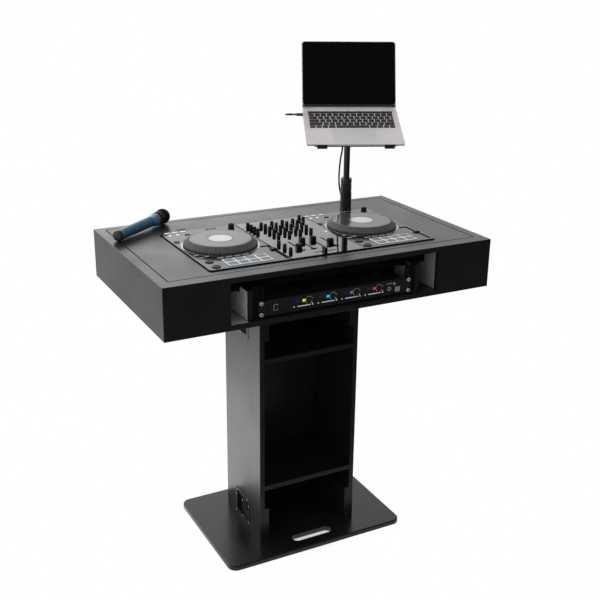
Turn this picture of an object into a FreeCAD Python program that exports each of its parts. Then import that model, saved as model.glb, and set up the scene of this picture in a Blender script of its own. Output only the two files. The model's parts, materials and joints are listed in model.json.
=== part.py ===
import FreeCAD, Part
import math
import os

# A free-standing DJ booth. A plate stands on the floor, a column with shelves stands on the plate, and an
# equipment box with a rack bay lies on the column. A controller is let into the box's lid, a receiver is
# bolted into the rack bay, a pole on the lid carries a laptop, and a microphone lies on the lid.
# Millimetres, +Z up, the operator on the -Y side. The origin is the middle of the plate's underside.

os.makedirs("parts", exist_ok=True)
Vector = FreeCAD.Vector
Rotation = FreeCAD.Rotation

# Boards and clearances
board = 15.0
overrun = 2.0
running_gap = 0.05
free_gap = 0.3
edge_round = 1.2
match = 0.001

# Base plate
base_width = 600.0
base_depth = 420.0
base_thickness = 15.0
base_corner = 28.0
base_edge = 4.0
handle_length = 135.0
handle_width = 33.0
handle_inset = 54.0

# Column
column_width = 330.0
column_depth = 250.0
back_thickness = 9.0
base_lap = 82.0
base_tongue = 112.0
lower_shelf_top = 208.0
upper_shelf_top = 628.0

# Equipment box
box_width = 1020.0
box_depth = 600.0
box_height = 146.0
box_top = 955.0
box_setback = 9.0
box_lap = 75.0
box_tongue = 124.0
opening_width = 650.0
front_rim = 42.0
side_rim = 31.0
back_rim = 24.0
lid_thickness = 9.0
lid_ledge = 12.0
lid_seam = 1.5
finger_slot_length = 30.0
finger_slot_width = 8.0
finger_slot_inset = 79.7
finger_slot_setback = 24.3

# Latches between the base, the column and the box
latch_y = 5.0
latch_width = 100.0
dish_height = 66.0
keeper_height = 23.0
latch_gauge = 1.2
latch_border = 8.0
pan_depth = 12.0
pivot_drop = 26.0
pivot_radius = 4.0
pivot_length = 9.0
lug_reach = 30.0
lug_width = 12.0
lug_thickness = 3.0
wing_span = 42.0
wing_width = 16.0
wing_thickness = 3.0
wing_tab = 3.0
strike_height = 5.0
strike_thickness = 3.0

# Rack bay
rack_unit = 44.45
rack_units = 2
rail_hole_inset = 24.45
rack_hole_pitch = 31.75
rack_hole_radius = 3.25
rack_lift = 4.3
rack_clear_width = 514.0
rail_face = 35.0
rail_depth = 25.0
rail_gauge = 2.0
cheek_depth = 47.0
cheek_drop = 12.0
cheek_tail = 62.0
cheek_headroom = 4.0
screw_radius = 2.9
screw_length = 14.0
screw_head_radius = 5.5
screw_head_height = 3.6

# Receiver in the lower rack unit
receiver_side_gap = 15.7
receiver_height = 43.7
receiver_gauge = 3.0
case_side_gap = 42.0
case_height = 41.0
case_depth = 200.0
case_wall = 1.2
volume_count = 4
volume_pitch_share = 0.1546
volume_first_share = -0.1844
volume_rise = 4.5
volume_radius = 7.5
volume_length = 12.0
volume_shaft_radius = 3.0
volume_shaft_length = 9.0
rocker_share = -0.3937
rocker_width = 10.0
rocker_height = 13.0
rocker_radius = 9.0
rocker_depth = 6.0
rocker_clearance = 1.8
rocker_tip = 8.0

# Controller
controller_width = 713.0
controller_depth = 386.0
controller_height = 67.0
controller_rise = 3.5
controller_x = 4.3
controller_y = -27.8
controller_gap = 2.5
controller_corner = 8.0
face_thickness = 4.0
chassis_wall = 3.0
deck_shift_share = -0.0084
deck_spacing_share = 0.655
deck_y_share = 0.0335
jog_radius = 106.0
jog_plate_radius = 87.5
jog_height = 20.0
jog_lift = 0.5
jog_lip = 6.0
jog_skin = 5.0
jog_hub_radius = 20.0
display_radius = 33.5
display_thickness = 1.5
spindle_radius = 8.0
browse_x_share = 0.1376
browse_y_share = 0.384
browse_radius = 9.5
browse_height = 14.0
control_shaft_radius = 3.0
control_shaft_length = 9.0
cue_x_share = -0.1257
cue_y_share = -0.3505
play_y_share = -0.4742
deck_button_radius = 12.0
deck_button_rise = 2.5
deck_button_depth = 8.0
deck_button_lip = 1.5
pad_columns = 4
pad_rows = 2
pad_x_share = 0.0133
pad_y_share = -0.424
pad_pitch_x = 32.0
pad_pitch_y = 29.0
pad_width = 28.0
pad_depth = 24.0
pad_height = 2.5
pad_corner = 2.0
tempo_x_share = 0.1626
tempo_y_share = -0.3505
tempo_slot_length = 120.0
tempo_rest_share = -0.2964
tempo_rest_split_share = 0.0284
tempo_cap_length = 16.0
tempo_cap_width = 14.0
tempo_cap_height = 4.0
fader_slot_width = 3.6
fader_stem_width = 2.4
fader_stem_length = 6.0
fader_stem_depth = 16.0
fader_cap_length = 17.0
fader_cap_width = 11.0
fader_cap_height = 13.0
fader_cap_corner = 2.0
mixer_columns = 4
mixer_pitch_x_share = 0.0503
mixer_rows = 5
mixer_pitch_y_share = 0.0773
mixer_last_y_share = 0.0415
mixer_knob_radius = 6.0
mixer_knob_top_radius = 5.0
mixer_knob_height = 14.0
eq_knob_height = 16.7
eq_rows = (1, 2, 3)
mixer_side_x_share = 0.1285
mixer_left_first_y_share = 0.3869
mixer_left_pitch_share = 0.0619
mixer_left_count = 4
mixer_right_first_y_share = 0.4281
mixer_right_pitch_share = 0.0696
mixer_right_count = 2
mixer_front_first_y_share = -0.1595
mixer_front_pitch_share = 0.0966
mixer_front_count = 3
channel_y_share = -0.2268
channel_slot_length = 84.0
channel_rest_shares = (-0.2912, -0.1624, -0.1624, -0.2629)
cross_y_share = -0.4356
cross_slot_length = 64.0
cross_rest_share = -0.0014
cross_cap_length = 15.0
cross_cap_width = 9.0

# Circuit boards inside the receiver and the controller
circuit_gauge = 1.6
circuit_margin = 12.0
standoff_radius = 3.0
standoff_inset = 10.0
receiver_standoff = 8.0
controller_standoff = 36.0

# Laptop stand
pole_inset_x = 206.2
pole_inset_y = 103.5
pole_radius = 10.0
pole_wall = 1.5
pole_below_lid = 46.0
pole_top = 1222.0
sleeve_radius = 18.3
sleeve_height = 55.0
flange_radius = 19.5
flange_thickness = 4.0
clutch_radius = 17.8
clutch_top_radius = 16.6
clutch_height = 47.0
clutch_taper = 4.0
hub_radius = 13.0
hub_height = 34.0
tray_width = 264.0
tray_depth = 196.0
tray_gauge = 3.0
tray_corner = 12.0
tray_yaw = -23.3
tray_tilt = 22.4
tray_reach = 36.5
tray_side = 10.3
tray_height = 1221.9
lip_spacing = 209.0
lip_width = 31.0
lip_height = 10.5
lip_gauge = 3.0
clip_radius = 11.5
clip_eye_radius = 5.2
clip_reach = 15.03
clip_bearing = 152.25
clip_height = 10.0
clip_drop = 18.0

# Laptop
laptop_width = 304.0
laptop_depth = 212.0
laptop_thickness = 11.0
laptop_edge = 5.5
laptop_bevel = 14.0
laptop_corner = 10.0
screen_thickness = 5.0
screen_angle = 129.4
hinge_radius = 3.0
hinge_length = 236.0
hinge_setback = 0.5
keyboard_width = 276.0
keyboard_depth = 100.0
keyboard_recess = 1.4
keyboard_back_margin = 18.0

# Microphone
mic_inset_x = 23.8
mic_inset_y = 157.6
mic_heading = 34.8
mic_length = 196.0
mic_butt_radius = 15.5
mic_cap_length = 20.0
mic_neck_radius = 16.3
mic_neck_length = 167.0
mic_ring_radius = 20.5
mic_ring_length = 22.0
mic_butt_round = 3.0
mic_wall = 2.5
grille_radius = 23.3
grille_wall = 2.0
grille_sink = 28.6

# Lead from the laptop down the pole
cord_diameter = 5.6
cord_arc_share = 0.45
plug_width = 10.5
plug_height = 6.5
plug_length = 20.0
relief_length = 10.0
relief_radius = 3.2
plug_from_hinge = 29.0
upper_route = [
    (158.97, 303.35, 1256.27), (146.11, 308.89, 1256.27), (141.3, 323.0, 1254.6), (150.5, 340.0, 1252.0),
    (172.0, 346.5, 1250.5), (200.0, 340.0, 1248.0), (228.0, 322.0, 1239.6), (251.4, 299.0, 1228.5),
    (269.6, 273.3, 1214.9), (282.0, 252.5, 1205.0), (288.8, 236.5, 1200.5), (288.7, 221.5, 1196.0),
    (290.0, 214.0, 1185.0), (290.5, 212.5, 1174.0), (290.5, 212.5, 1165.0),
]
lower_route = [
    (290.5, 212.5, 1165.0), (290.5, 212.5, 1150.0), (286.8, 215.0, 1128.0), (284.8, 217.8, 1100.0),
    (284.9, 221.1, 1068.0), (287.0, 224.0, 1044.0), (291.8, 227.7, 1020.0), (298.8, 230.2, 1000.0),
    (303.7, 231.0, 975.0), (303.7, 231.0, 950.0),
]

# Levels and half widths that several pieces share
base_joint = base_thickness + base_lap
box_bottom = box_top - box_height
floor_top = box_bottom + board
frame_bottom = box_top - board
column_joint = box_bottom - box_lap
column_half = column_width / 2
column_inner = column_half - board
tongue_inner = column_inner - board
column_front = -column_depth / 2
column_back = column_depth / 2
shelf_back = column_back - back_thickness
box_half = box_width / 2
box_inner = box_half - board
box_front = box_setback - box_depth / 2
box_back = box_setback + box_depth / 2
panel_back = box_front + board
opening_half = opening_width / 2
lid_bottom = box_top - lid_thickness
lid_x = (side_rim - box_half, box_half - side_rim)
lid_y = (box_front + front_rim, box_back - back_rim)
rack_base = floor_top + rack_lift
rack_top = rack_base + rack_units * rack_unit
cheek_inner = rack_clear_width / 2
rack_hole_span = rack_clear_width - 2 * rail_hole_inset
receiver_width = rack_clear_width - 2 * receiver_side_gap
case_width = rack_clear_width - 2 * case_side_gap
volume_pitch = volume_pitch_share * receiver_width
volume_first_x = volume_first_share * receiver_width
rocker_x = rocker_share * receiver_width
receiver_z = rack_base + rack_unit / 2
receiver_front_y = panel_back - receiver_gauge
volume_z = receiver_z + volume_rise
rocker_y = receiver_front_y + rocker_depth
face_top = box_top + controller_rise
face_bottom = face_top - face_thickness
chassis_bottom = face_top - controller_height
cutout_width = controller_width + 2 * controller_gap
cutout_depth = controller_depth + 2 * controller_gap
finger_slot_x = controller_x - cutout_width / 2 + finger_slot_inset
deck_spacing = deck_spacing_share * controller_width
deck_center_x = controller_x + deck_shift_share * controller_width
deck_xs = (deck_center_x - deck_spacing / 2, deck_center_x + deck_spacing / 2)
deck_y = controller_y + deck_y_share * controller_depth
browse_x = browse_x_share * controller_width
browse_y = browse_y_share * controller_depth
cue_x = cue_x_share * controller_width
cue_y = cue_y_share * controller_depth
play_y = play_y_share * controller_depth
pad_center_x = pad_x_share * controller_width
pad_center_y = pad_y_share * controller_depth
tempo_x = tempo_x_share * controller_width
tempo_y = tempo_y_share * controller_depth
tempo_rest_y = tempo_rest_share * controller_depth
tempo_rest_split = tempo_rest_split_share * controller_depth
tempo_rest_ys = (deck_y + tempo_rest_y + tempo_rest_split, deck_y + tempo_rest_y - tempo_rest_split)
mixer_pitch_x = mixer_pitch_x_share * controller_width
mixer_pitch_y = mixer_pitch_y_share * controller_depth
mixer_last_y = controller_y + mixer_last_y_share * controller_depth
mixer_side_x = mixer_side_x_share * controller_width
mixer_left_first_y = controller_y + mixer_left_first_y_share * controller_depth
mixer_left_pitch = mixer_left_pitch_share * controller_depth
mixer_right_first_y = controller_y + mixer_right_first_y_share * controller_depth
mixer_right_pitch = mixer_right_pitch_share * controller_depth
mixer_front_first_y = controller_y + mixer_front_first_y_share * controller_depth
mixer_front_pitch = mixer_front_pitch_share * controller_depth
channel_y = controller_y + channel_y_share * controller_depth
channel_rest_ys = [controller_y + share * controller_depth for share in channel_rest_shares]
cross_y = controller_y + cross_y_share * controller_depth
cross_rest_x = controller_x + cross_rest_share * controller_width
channel_xs = [controller_x + mixer_pitch_x * (i - (mixer_columns - 1) / 2) for i in range(mixer_columns)]
clutch_bottom = box_top + sleeve_height + free_gap
pole_bottom = lid_bottom - pole_below_lid
hub_bottom = pole_top - hub_height
tray_turn = Rotation(Vector(0, 0, 1), tray_yaw).multiply(Rotation(Vector(1, 0, 0), tray_tilt))
tray_offset = Rotation(Vector(0, 0, 1), tray_yaw).multVec(Vector(tray_side, -tray_reach, 0))
pole_x = box_half - pole_inset_x
pole_y = box_back - pole_inset_y
mic_x = mic_inset_x - box_half
mic_y = box_back - mic_inset_y
tray_place = FreeCAD.Placement(Vector(pole_x, pole_y, tray_height) + tray_offset, tray_turn)
hinge_y = laptop_depth / 2 + hinge_setback
hinge_z = laptop_thickness + free_gap


def block(x, y, z):
    """Box between the two faces given for each axis."""
    return Part.makeBox(x[1] - x[0], y[1] - y[0], z[1] - z[0], Vector(x[0], y[0], z[0]))


def span(center, size):
    """Lowest and highest of a size about its centre."""
    return (center - size / 2, center + size / 2)


def rod(radius, start, end):
    """Round bar between two points."""
    return Part.makeCylinder(radius, (end - start).Length, start, end - start)


def upright(radius, x, y, z):
    """Round bar along Z between two heights."""
    return rod(radius, Vector(x, y, z[0]), Vector(x, y, z[1]))


def turned(profile, x, y):
    """Solid of revolution about a line along Z; the profile is (radius, height) points."""
    points = [Vector(radius, 0, height) for radius, height in profile]
    face = Part.Face(Part.makePolygon(points + points[:1]))
    solid = face.revolve(Vector(0, 0, 0), Vector(0, 0, 1))
    solid.translate(Vector(x, y, 0))
    return solid


def edges_at(shape, **planes):
    """Edges whose ends all lie on each given plane, such as z=15."""
    found = []
    for edge in shape.Edges:
        ends = [vertex.Point for vertex in edge.Vertexes]
        if all(abs(getattr(end, axis) - value) < match for axis, value in planes.items() for end in ends):
            found.append(edge)
    return found


def corner_edges(shape, x, y):
    """The upright edges at the corners of a rectangle."""
    return [edge for corner_x in x for corner_y in y for edge in edges_at(shape, x=corner_x, y=corner_y)]


def rounded_block(x, y, z, radius):
    """Box with rounded upright edges."""
    solid = block(x, y, z)
    return solid.makeFillet(radius, corner_edges(solid, x, y))


def obround(x, y, z):
    """Upright slot with round ends along its longer side."""
    width = min(x[1] - x[0], y[1] - y[0])
    along_x = x[1] - x[0] > y[1] - y[0]
    ends_x = (x[0] + width / 2, x[1] - width / 2) if along_x else (sum(x) / 2, sum(x) / 2)
    ends_y = (sum(y) / 2, sum(y) / 2) if along_x else (y[0] + width / 2, y[1] - width / 2)
    solid = block(ends_x, y, z) if along_x else block(x, ends_y, z)
    for end_x, end_y in zip(ends_x, ends_y):
        solid = solid.fuse(upright(width / 2, end_x, end_y, z))
    return solid.removeSplitter()


def mirrored(shape):
    """The same shape on the other side of the middle plane."""
    return shape.mirror(Vector(0, 0, 0), Vector(1, 0, 0))


def both_sides(shape):
    return [shape, mirrored(shape)]


def save(node, *shapes):
    """Write one node, a solid or a group of separate solids."""
    shape = shapes[0] if len(shapes) == 1 else Part.makeCompound(list(shapes))
    shape.exportStep("parts/" + node + ".step")


# Base plate with its carrying slot
def base_plate():
    x = span(0, base_width)
    y = span(0, base_depth)
    plate = rounded_block(x, y, (0, base_thickness), base_corner)
    plate = plate.makeFillet(base_edge, edges_at(plate, z=base_thickness))
    slot_y = span(y[0] + handle_inset, handle_width)
    return plate.cut(obround(span(0, handle_length), slot_y, (-overrun, base_thickness + overrun)))


# Latch pieces on the right side, at the height of the joint that they close
def latch_pocket(low, high):
    """Cutter for the pan in the side boards."""
    return block(
        (column_half - pan_depth, column_half + overrun),
        span(latch_y, latch_width - 2 * latch_border),
        (low, high),
    )


def dish_pocket(joint):
    return latch_pocket(joint - dish_height + latch_border, joint + overrun)


def keeper_pocket(joint):
    return latch_pocket(joint - overrun, joint + keeper_height - latch_border)


def latch_pan(low, high, joint):
    """Flange and pan, open to the outside and at the joint."""
    pan_low = joint if low == joint else low + latch_border
    pan_high = joint if high == joint else high - latch_border
    outside = column_half + latch_gauge
    flange = block((column_half, outside), span(latch_y, latch_width), (low, high))
    pan_y = span(latch_y, latch_width - 2 * latch_border)
    pan = block((column_half - pan_depth, column_half), pan_y, (pan_low, pan_high))
    cavity = block(
        (column_half - pan_depth + latch_gauge, outside + overrun),
        (pan_y[0] + latch_gauge, pan_y[1] - latch_gauge),
        (joint - overrun if low == joint else pan_low + latch_gauge,
         joint + overrun if high == joint else pan_high - latch_gauge),
    )
    return flange.fuse(pan).cut(cavity).removeSplitter()


def latch_dish(joint):
    pan_floor = column_half - pan_depth
    pivot = joint - pivot_drop
    post_end = Vector(pan_floor + pivot_length, latch_y, pivot)
    post = rod(pivot_radius, Vector(pan_floor, latch_y, pivot), post_end)
    return latch_pan(joint - dish_height, joint, joint).fuse(post)


def latch_keeper(joint):
    strike_x = column_half - pan_depth + latch_gauge + 3 * free_gap + lug_thickness
    pan_y = span(latch_y, latch_width - 2 * latch_border)
    strike = block((strike_x, strike_x + strike_thickness), pan_y, (joint, joint + strike_height))
    return latch_pan(joint, joint + keeper_height, joint).fuse(strike).removeSplitter()


def latch_wing(joint):
    """Finger wing on a hub, with the lug that turns behind the keeper's strike."""
    lug_x = column_half - pan_depth + latch_gauge + free_gap
    wing_x = lug_x + lug_thickness
    outer_x = wing_x + wing_thickness
    pivot = joint - pivot_drop
    lug = block((lug_x, wing_x), span(latch_y, lug_width), (pivot, pivot + lug_reach))
    reach = rod(lug_reach, Vector(lug_x, latch_y, pivot), Vector(wing_x, latch_y, pivot))
    hub = rod(wing_width / 2, Vector(lug_x, latch_y, pivot), Vector(outer_x, latch_y, pivot))
    wing_y = span(latch_y, wing_span)
    wing_z = span(pivot, wing_width)
    wing = block((wing_x, outer_x), wing_y, wing_z)
    corner = wing_width / 3
    corners = [edge for y in wing_y for z in wing_z for edge in edges_at(wing, y=y, z=z)]
    solid = lug.common(reach).fuse(hub).fuse(wing.makeFillet(corner, corners))
    for end, inward in ((wing_y[0], 1), (wing_y[1], -1)):
        tab_y = sorted((end + inward * corner, end + inward * (corner + wing_tab)))
        solid = solid.fuse(block((outer_x, outer_x + wing_tab), tab_y, span(pivot, wing_width / 2)))
    bore = pivot_radius + running_gap
    hole = rod(bore, Vector(lug_x - overrun, latch_y, pivot), Vector(outer_x + overrun, latch_y, pivot))
    return solid.cut(hole).removeSplitter()


# Column and the upstands that join it to the base and the box
def upstand(lap_z, tongue_z, pocket):
    """Outer lap in line with the column's side, and the inner tongue that reaches inside the column."""
    lap = block((column_inner, column_half), (column_front, column_back), lap_z)
    tongue = block((tongue_inner, column_inner), (column_front, shelf_back), tongue_z)
    return lap.fuse(tongue).removeSplitter().cut(pocket)


def column_side():
    side = block((column_inner, column_half), (column_front, column_back), (base_joint, column_joint))
    side = side.makeFillet(edge_round, edges_at(side, x=column_half, y=column_front))
    return side.cut(keeper_pocket(base_joint)).cut(dish_pocket(column_joint))


def shelf(top):
    return block((-column_inner, column_inner), (column_front, shelf_back), (top - board, top))


def column():
    base_upstand = upstand(
        (base_thickness, base_joint),
        (base_thickness, base_thickness + base_tongue),
        dish_pocket(base_joint),
    )
    box_upstand = upstand(
        (column_joint, box_bottom),
        (box_bottom - box_tongue, box_bottom),
        keeper_pocket(column_joint),
    )
    save("base_upstands", *both_sides(base_upstand))
    save("box_upstands", *both_sides(box_upstand))
    right, left = both_sides(column_side())
    save("column_left_side", left)
    save("column_right_side", right)
    back_z = (base_thickness, box_bottom)
    save("column_back", block((-column_inner, column_inner), (shelf_back, column_back), back_z))
    save("column_shelves", shelf(lower_shelf_top), shelf(upper_shelf_top))


def latches():
    joints = {"base": base_joint, "box": column_joint}
    plates = []
    for place, joint in joints.items():
        plates += both_sides(latch_dish(joint)) + both_sides(latch_keeper(joint))
        right, left = both_sides(latch_wing(joint))
        save("latch_wing_" + place + "_left", left)
        save("latch_wing_" + place + "_right", right)
    save("latch_plates", *plates)


# Equipment box
def box_floor():
    x = (-box_half, box_half)
    y = (box_front, box_back)
    panel = block(x, y, (box_bottom, floor_top))
    outer = corner_edges(panel, x, y)
    for side in x:
        outer += edges_at(panel, x=side, z=box_bottom)
    for side in y:
        outer += edges_at(panel, y=side, z=box_bottom)
    return panel.makeFillet(edge_round, outer)


def box_side():
    panel = block((box_inner, box_half), (box_front, box_back), (floor_top, frame_bottom))
    return panel.makeFillet(edge_round, corner_edges(panel, (box_half,), (box_front, box_back)))


def top_frame():
    """Frame round the lid, with the ledge that the lid lies on."""
    x = (-box_half, box_half)
    y = (box_front, box_back)
    panel = block(x, y, (frame_bottom, box_top))
    outer = corner_edges(panel, x, y)
    for side in x:
        outer += edges_at(panel, x=side, z=box_top)
    for side in y:
        outer += edges_at(panel, y=side, z=box_top)
    panel = panel.makeFillet(edge_round, outer)
    panel = panel.cut(block(lid_x, lid_y, (lid_bottom, box_top + overrun)))
    ledge_x = (lid_x[0] + lid_ledge, lid_x[1] - lid_ledge)
    ledge_y = (lid_y[0] + lid_ledge, lid_y[1] - lid_ledge)
    return panel.cut(block(ledge_x, ledge_y, (frame_bottom - overrun, box_top + overrun)))


def top_lid():
    """Lid with the cut-out for the controller, a finger slot, and holes for the pole and the lead."""
    x = (lid_x[0] + lid_seam, lid_x[1] - lid_seam)
    y = (lid_y[0] + lid_seam, lid_y[1] - lid_seam)
    through = (lid_bottom - overrun, box_top + overrun)
    lid = block(x, y, (lid_bottom, box_top))
    cutout_x = span(controller_x, cutout_width)
    cutout_y = span(controller_y, cutout_depth)
    corner = controller_corner + controller_gap
    lid = lid.cut(rounded_block(cutout_x, cutout_y, through, corner))
    slot_y = cutout_y[1] + finger_slot_setback
    slot = obround(span(finger_slot_x, finger_slot_length), span(slot_y, finger_slot_width), through)
    lid = lid.cut(slot)
    lid = lid.cut(upright(pole_radius + free_gap, pole_x, pole_y, through))
    cord_x, cord_y, cord_z = lower_route[-1]
    return lid.cut(upright(cord_diameter / 2 + free_gap, cord_x, cord_y, through))


def divider():
    """Upright board beside the front opening, notched so that the controller stands on it."""
    notch = span(controller_y, cutout_depth)
    board_x = (opening_half, opening_half + board)
    panel = block(board_x, (panel_back, box_back - board), (floor_top, frame_bottom))
    notch_x = (board_x[0] - overrun, board_x[1] + overrun)
    return panel.cut(block(notch_x, notch, (chassis_bottom, frame_bottom + overrun)))


def rack_rail():
    """Steel angle with three holes in each rack unit."""
    face_x = (cheek_inner - rail_face, cheek_inner)
    z = (rack_base, rack_top)
    face = block(face_x, (panel_back, panel_back + rail_gauge), z)
    side = block((cheek_inner - rail_gauge, cheek_inner), (panel_back, panel_back + rail_depth), z)
    rail = face.fuse(side).removeSplitter()
    for unit in range(rack_units):
        for step in (-1, 0, 1):
            hole_z = rack_base + rack_unit * (unit + 1 / 2) + step * rack_hole_pitch / 2
            start = Vector(rack_hole_span / 2, panel_back - overrun, hole_z)
            end = Vector(rack_hole_span / 2, panel_back + rail_gauge + overrun, hole_z)
            rail = rail.cut(rod(rack_hole_radius, start, end))
    return rail


def rack_cheek():
    """Board that carries a rail, lower where it passes under the controller."""
    x = (cheek_inner, cheek_inner + board)
    step = panel_back + cheek_depth
    front = block(x, (panel_back, step), (floor_top, rack_top - cheek_drop))
    tail = block(x, (step, step + cheek_tail), (floor_top, chassis_bottom - cheek_headroom))
    return front.fuse(tail).removeSplitter()


def rack_screw(z):
    x = rack_hole_span / 2
    seat = Vector(x, receiver_front_y, z)
    head = rod(screw_head_radius, Vector(x, receiver_front_y - screw_head_height, z), seat)
    head = head.makeFillet(screw_head_height / 2, edges_at(head, y=receiver_front_y - screw_head_height))
    return head.fuse(rod(screw_radius, seat, Vector(x, receiver_front_y + screw_length, z)))


def equipment_box():
    save("box_floor", box_floor())
    save("box_sides", *both_sides(box_side()))
    wall_z = (floor_top, frame_bottom)
    save("box_front_panels", *both_sides(block((opening_half, box_inner), (box_front, panel_back), wall_z)))
    save("box_back", block((-box_inner, box_inner), (box_back - board, box_back), wall_z))
    save("top_frame", top_frame())
    save("top_lid", top_lid())
    save("box_dividers", *both_sides(divider()), *both_sides(rack_cheek()))
    save("rack_rails", *both_sides(rack_rail()))
    screws = [rack_screw(receiver_z + step * rack_hole_pitch / 2) for step in (-1, 1)]
    save("rack_screws", *[screw for one in screws for screw in both_sides(one)])


# Receiver
def volume_xs():
    return [volume_first_x + i * volume_pitch for i in range(volume_count)]


def receiver_front():
    """Panel with ears, the holes for its screws and shafts, and the rocker's opening."""
    y = (receiver_front_y, panel_back)
    through = (y[0] - overrun, y[1] + overrun)
    panel = block(span(0, receiver_width), y, span(receiver_z, receiver_height))
    for x in (-rack_hole_span / 2, rack_hole_span / 2):
        for z in span(receiver_z, rack_hole_pitch):
            panel = panel.cut(rod(rack_hole_radius, Vector(x, through[0], z), Vector(x, through[1], z)))
    for x in volume_xs():
        start = Vector(x, through[0], volume_z)
        panel = panel.cut(rod(volume_shaft_radius + running_gap, start, Vector(x, through[1], volume_z)))
    opening_x = span(rocker_x, rocker_width + 2 * free_gap)
    opening_z = span(receiver_z, rocker_height + 2 * rocker_clearance)
    return panel.cut(block(opening_x, through, opening_z))


def receiver_case():
    """Sheet case behind the panel, closed by the panel."""
    y = (panel_back, panel_back + case_depth)
    outside = block(span(0, case_width), y, span(receiver_z, case_height))
    inside = block(
        span(0, case_width - 2 * case_wall),
        (y[0] - overrun, y[1] - case_wall),
        span(receiver_z, case_height - 2 * case_wall),
    )
    return outside.cut(inside)


def volume_knob(x):
    face = receiver_front_y - free_gap
    knob = rod(volume_radius, Vector(x, face - volume_length, volume_z), Vector(x, face, volume_z))
    knob = knob.makeFillet(edge_round, edges_at(knob, y=face - volume_length))
    end = Vector(x, face + volume_shaft_length, volume_z)
    return knob.fuse(rod(volume_shaft_radius, Vector(x, face, volume_z), end))


def rocker():
    """Slice of a round bar that tips about its own axis, resting tipped one way."""
    x = span(rocker_x, rocker_width)
    bar = rod(rocker_radius, Vector(x[0], rocker_y, receiver_z), Vector(x[1], rocker_y, receiver_z))
    key = bar.common(block(x, (rocker_y - rocker_radius, rocker_y), span(receiver_z, rocker_height)))
    key.rotate(Vector(rocker_x, rocker_y, receiver_z), Vector(1, 0, 0), rocker_tip)
    return key


def receiver():
    save("receiver_front", receiver_front())
    save("receiver_case", receiver_case())
    save("receiver_switch", rocker())
    for i, x in enumerate(volume_xs()):
        save("receiver_knob_" + str(i + 1), volume_knob(x))


# Controller
def tempo_slot(deck_x):
    return span(deck_x + tempo_x, fader_slot_width), span(deck_y + tempo_y, tempo_slot_length)


def channel_slot(x):
    return span(x, fader_slot_width), span(channel_y, channel_slot_length)


def cross_slot():
    return span(controller_x, cross_slot_length), span(cross_y, fader_slot_width)


def controller_face():
    """Top panel with its slots and holes."""
    through = (face_bottom - overrun, face_top + overrun)
    x = span(controller_x, controller_width)
    y = span(controller_y, controller_depth)
    panel = rounded_block(x, y, (face_bottom, face_top), controller_corner)
    slots = [tempo_slot(deck_x) for deck_x in deck_xs]
    slots += [channel_slot(channel_x) for channel_x in channel_xs]
    slots.append(cross_slot())
    for slot_x, slot_y in slots:
        panel = panel.cut(obround(slot_x, slot_y, through))
    for deck_x in deck_xs:
        shaft_hole = control_shaft_radius + running_gap
        panel = panel.cut(upright(shaft_hole, deck_x + browse_x, deck_y + browse_y, through))
        for button_y in (cue_y, play_y):
            button_hole = deck_button_radius + free_gap
            panel = panel.cut(upright(button_hole, deck_x + cue_x, deck_y + button_y, through))
    return panel


def controller_chassis():
    """Open tray under the top panel."""
    x = span(controller_x, controller_width)
    y = span(controller_y, controller_depth)
    outside = rounded_block(x, y, (chassis_bottom, face_bottom), controller_corner)
    inside = block(
        (x[0] + chassis_wall, x[1] - chassis_wall),
        (y[0] + chassis_wall, y[1] - chassis_wall),
        (chassis_bottom + chassis_wall, face_bottom + overrun),
    )
    return outside.cut(inside)


def jog_wheel(x):
    """Hollow wheel with a sloping rim and a recess for the display."""
    low = face_top + jog_lift
    top = face_top + jog_height
    bore = spindle_radius + running_gap
    recess = display_radius + free_gap
    seat = top - display_thickness - free_gap
    under = seat - jog_skin
    return turned([
        (bore, low), (jog_hub_radius, low), (jog_hub_radius, under), (jog_plate_radius - jog_skin, under),
        (jog_radius - 2 * jog_skin, low), (jog_radius, low), (jog_radius, low + jog_lip),
        (jog_plate_radius, top), (recess, top), (recess, seat), (bore, seat),
    ], x, deck_y)


def jog_display(x):
    """Fixed disc on the spindle that the wheel turns on."""
    top = face_top + jog_height
    spindle = upright(spindle_radius, x, deck_y, (face_top, top))
    return spindle.fuse(upright(display_radius, x, deck_y, (top - display_thickness, top))).removeSplitter()


def browse_knob(deck_x):
    x = deck_x + browse_x
    y = deck_y + browse_y
    low = face_top + free_gap
    knob = upright(browse_radius, x, y, (low, low + browse_height))
    knob = knob.makeFillet(edge_round, edges_at(knob, z=low + browse_height))
    return knob.fuse(upright(control_shaft_radius, x, y, (low - control_shaft_length, low)))


def deck_button(x, y):
    """Round button with a lip that holds it under the top panel."""
    top = face_top + deck_button_rise
    button = upright(deck_button_radius, x, y, (top - deck_button_depth, top))
    button = button.makeFillet(edge_round, edges_at(button, z=top))
    lip = upright(deck_button_radius + deck_button_lip, x, y, (face_bottom - deck_button_lip, face_bottom))
    return button.fuse(lip).removeSplitter()


def performance_pads(deck_x):
    z = (face_top, face_top + pad_height)
    pads = []
    for column_index in range(pad_columns):
        for row_index in range(pad_rows):
            x = deck_x + pad_center_x + pad_pitch_x * (column_index - (pad_columns - 1) / 2)
            y = deck_y + pad_center_y + pad_pitch_y * (row_index - (pad_rows - 1) / 2)
            pads.append(rounded_block(span(x, pad_width), span(y, pad_depth), z, pad_corner))
    return pads


def fader(x, y, cap_length, cap_width, cap_height, along_x=False):
    """Cap on a stem that slides in a slot, with its length across the slot."""
    low = face_top + jog_lift
    stem_size = (fader_stem_length, fader_stem_width) if along_x else (fader_stem_width, fader_stem_length)
    cap_size = (cap_width, cap_length) if along_x else (cap_length, cap_width)
    stem = block(span(x, stem_size[0]), span(y, stem_size[1]), (low - fader_stem_depth, low))
    cap_z = (low, low + cap_height)
    cap = rounded_block(span(x, cap_size[0]), span(y, cap_size[1]), cap_z, fader_cap_corner)
    cap = cap.makeFillet(edge_round, edges_at(cap, z=cap_z[1]))
    return stem.fuse(cap)


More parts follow.
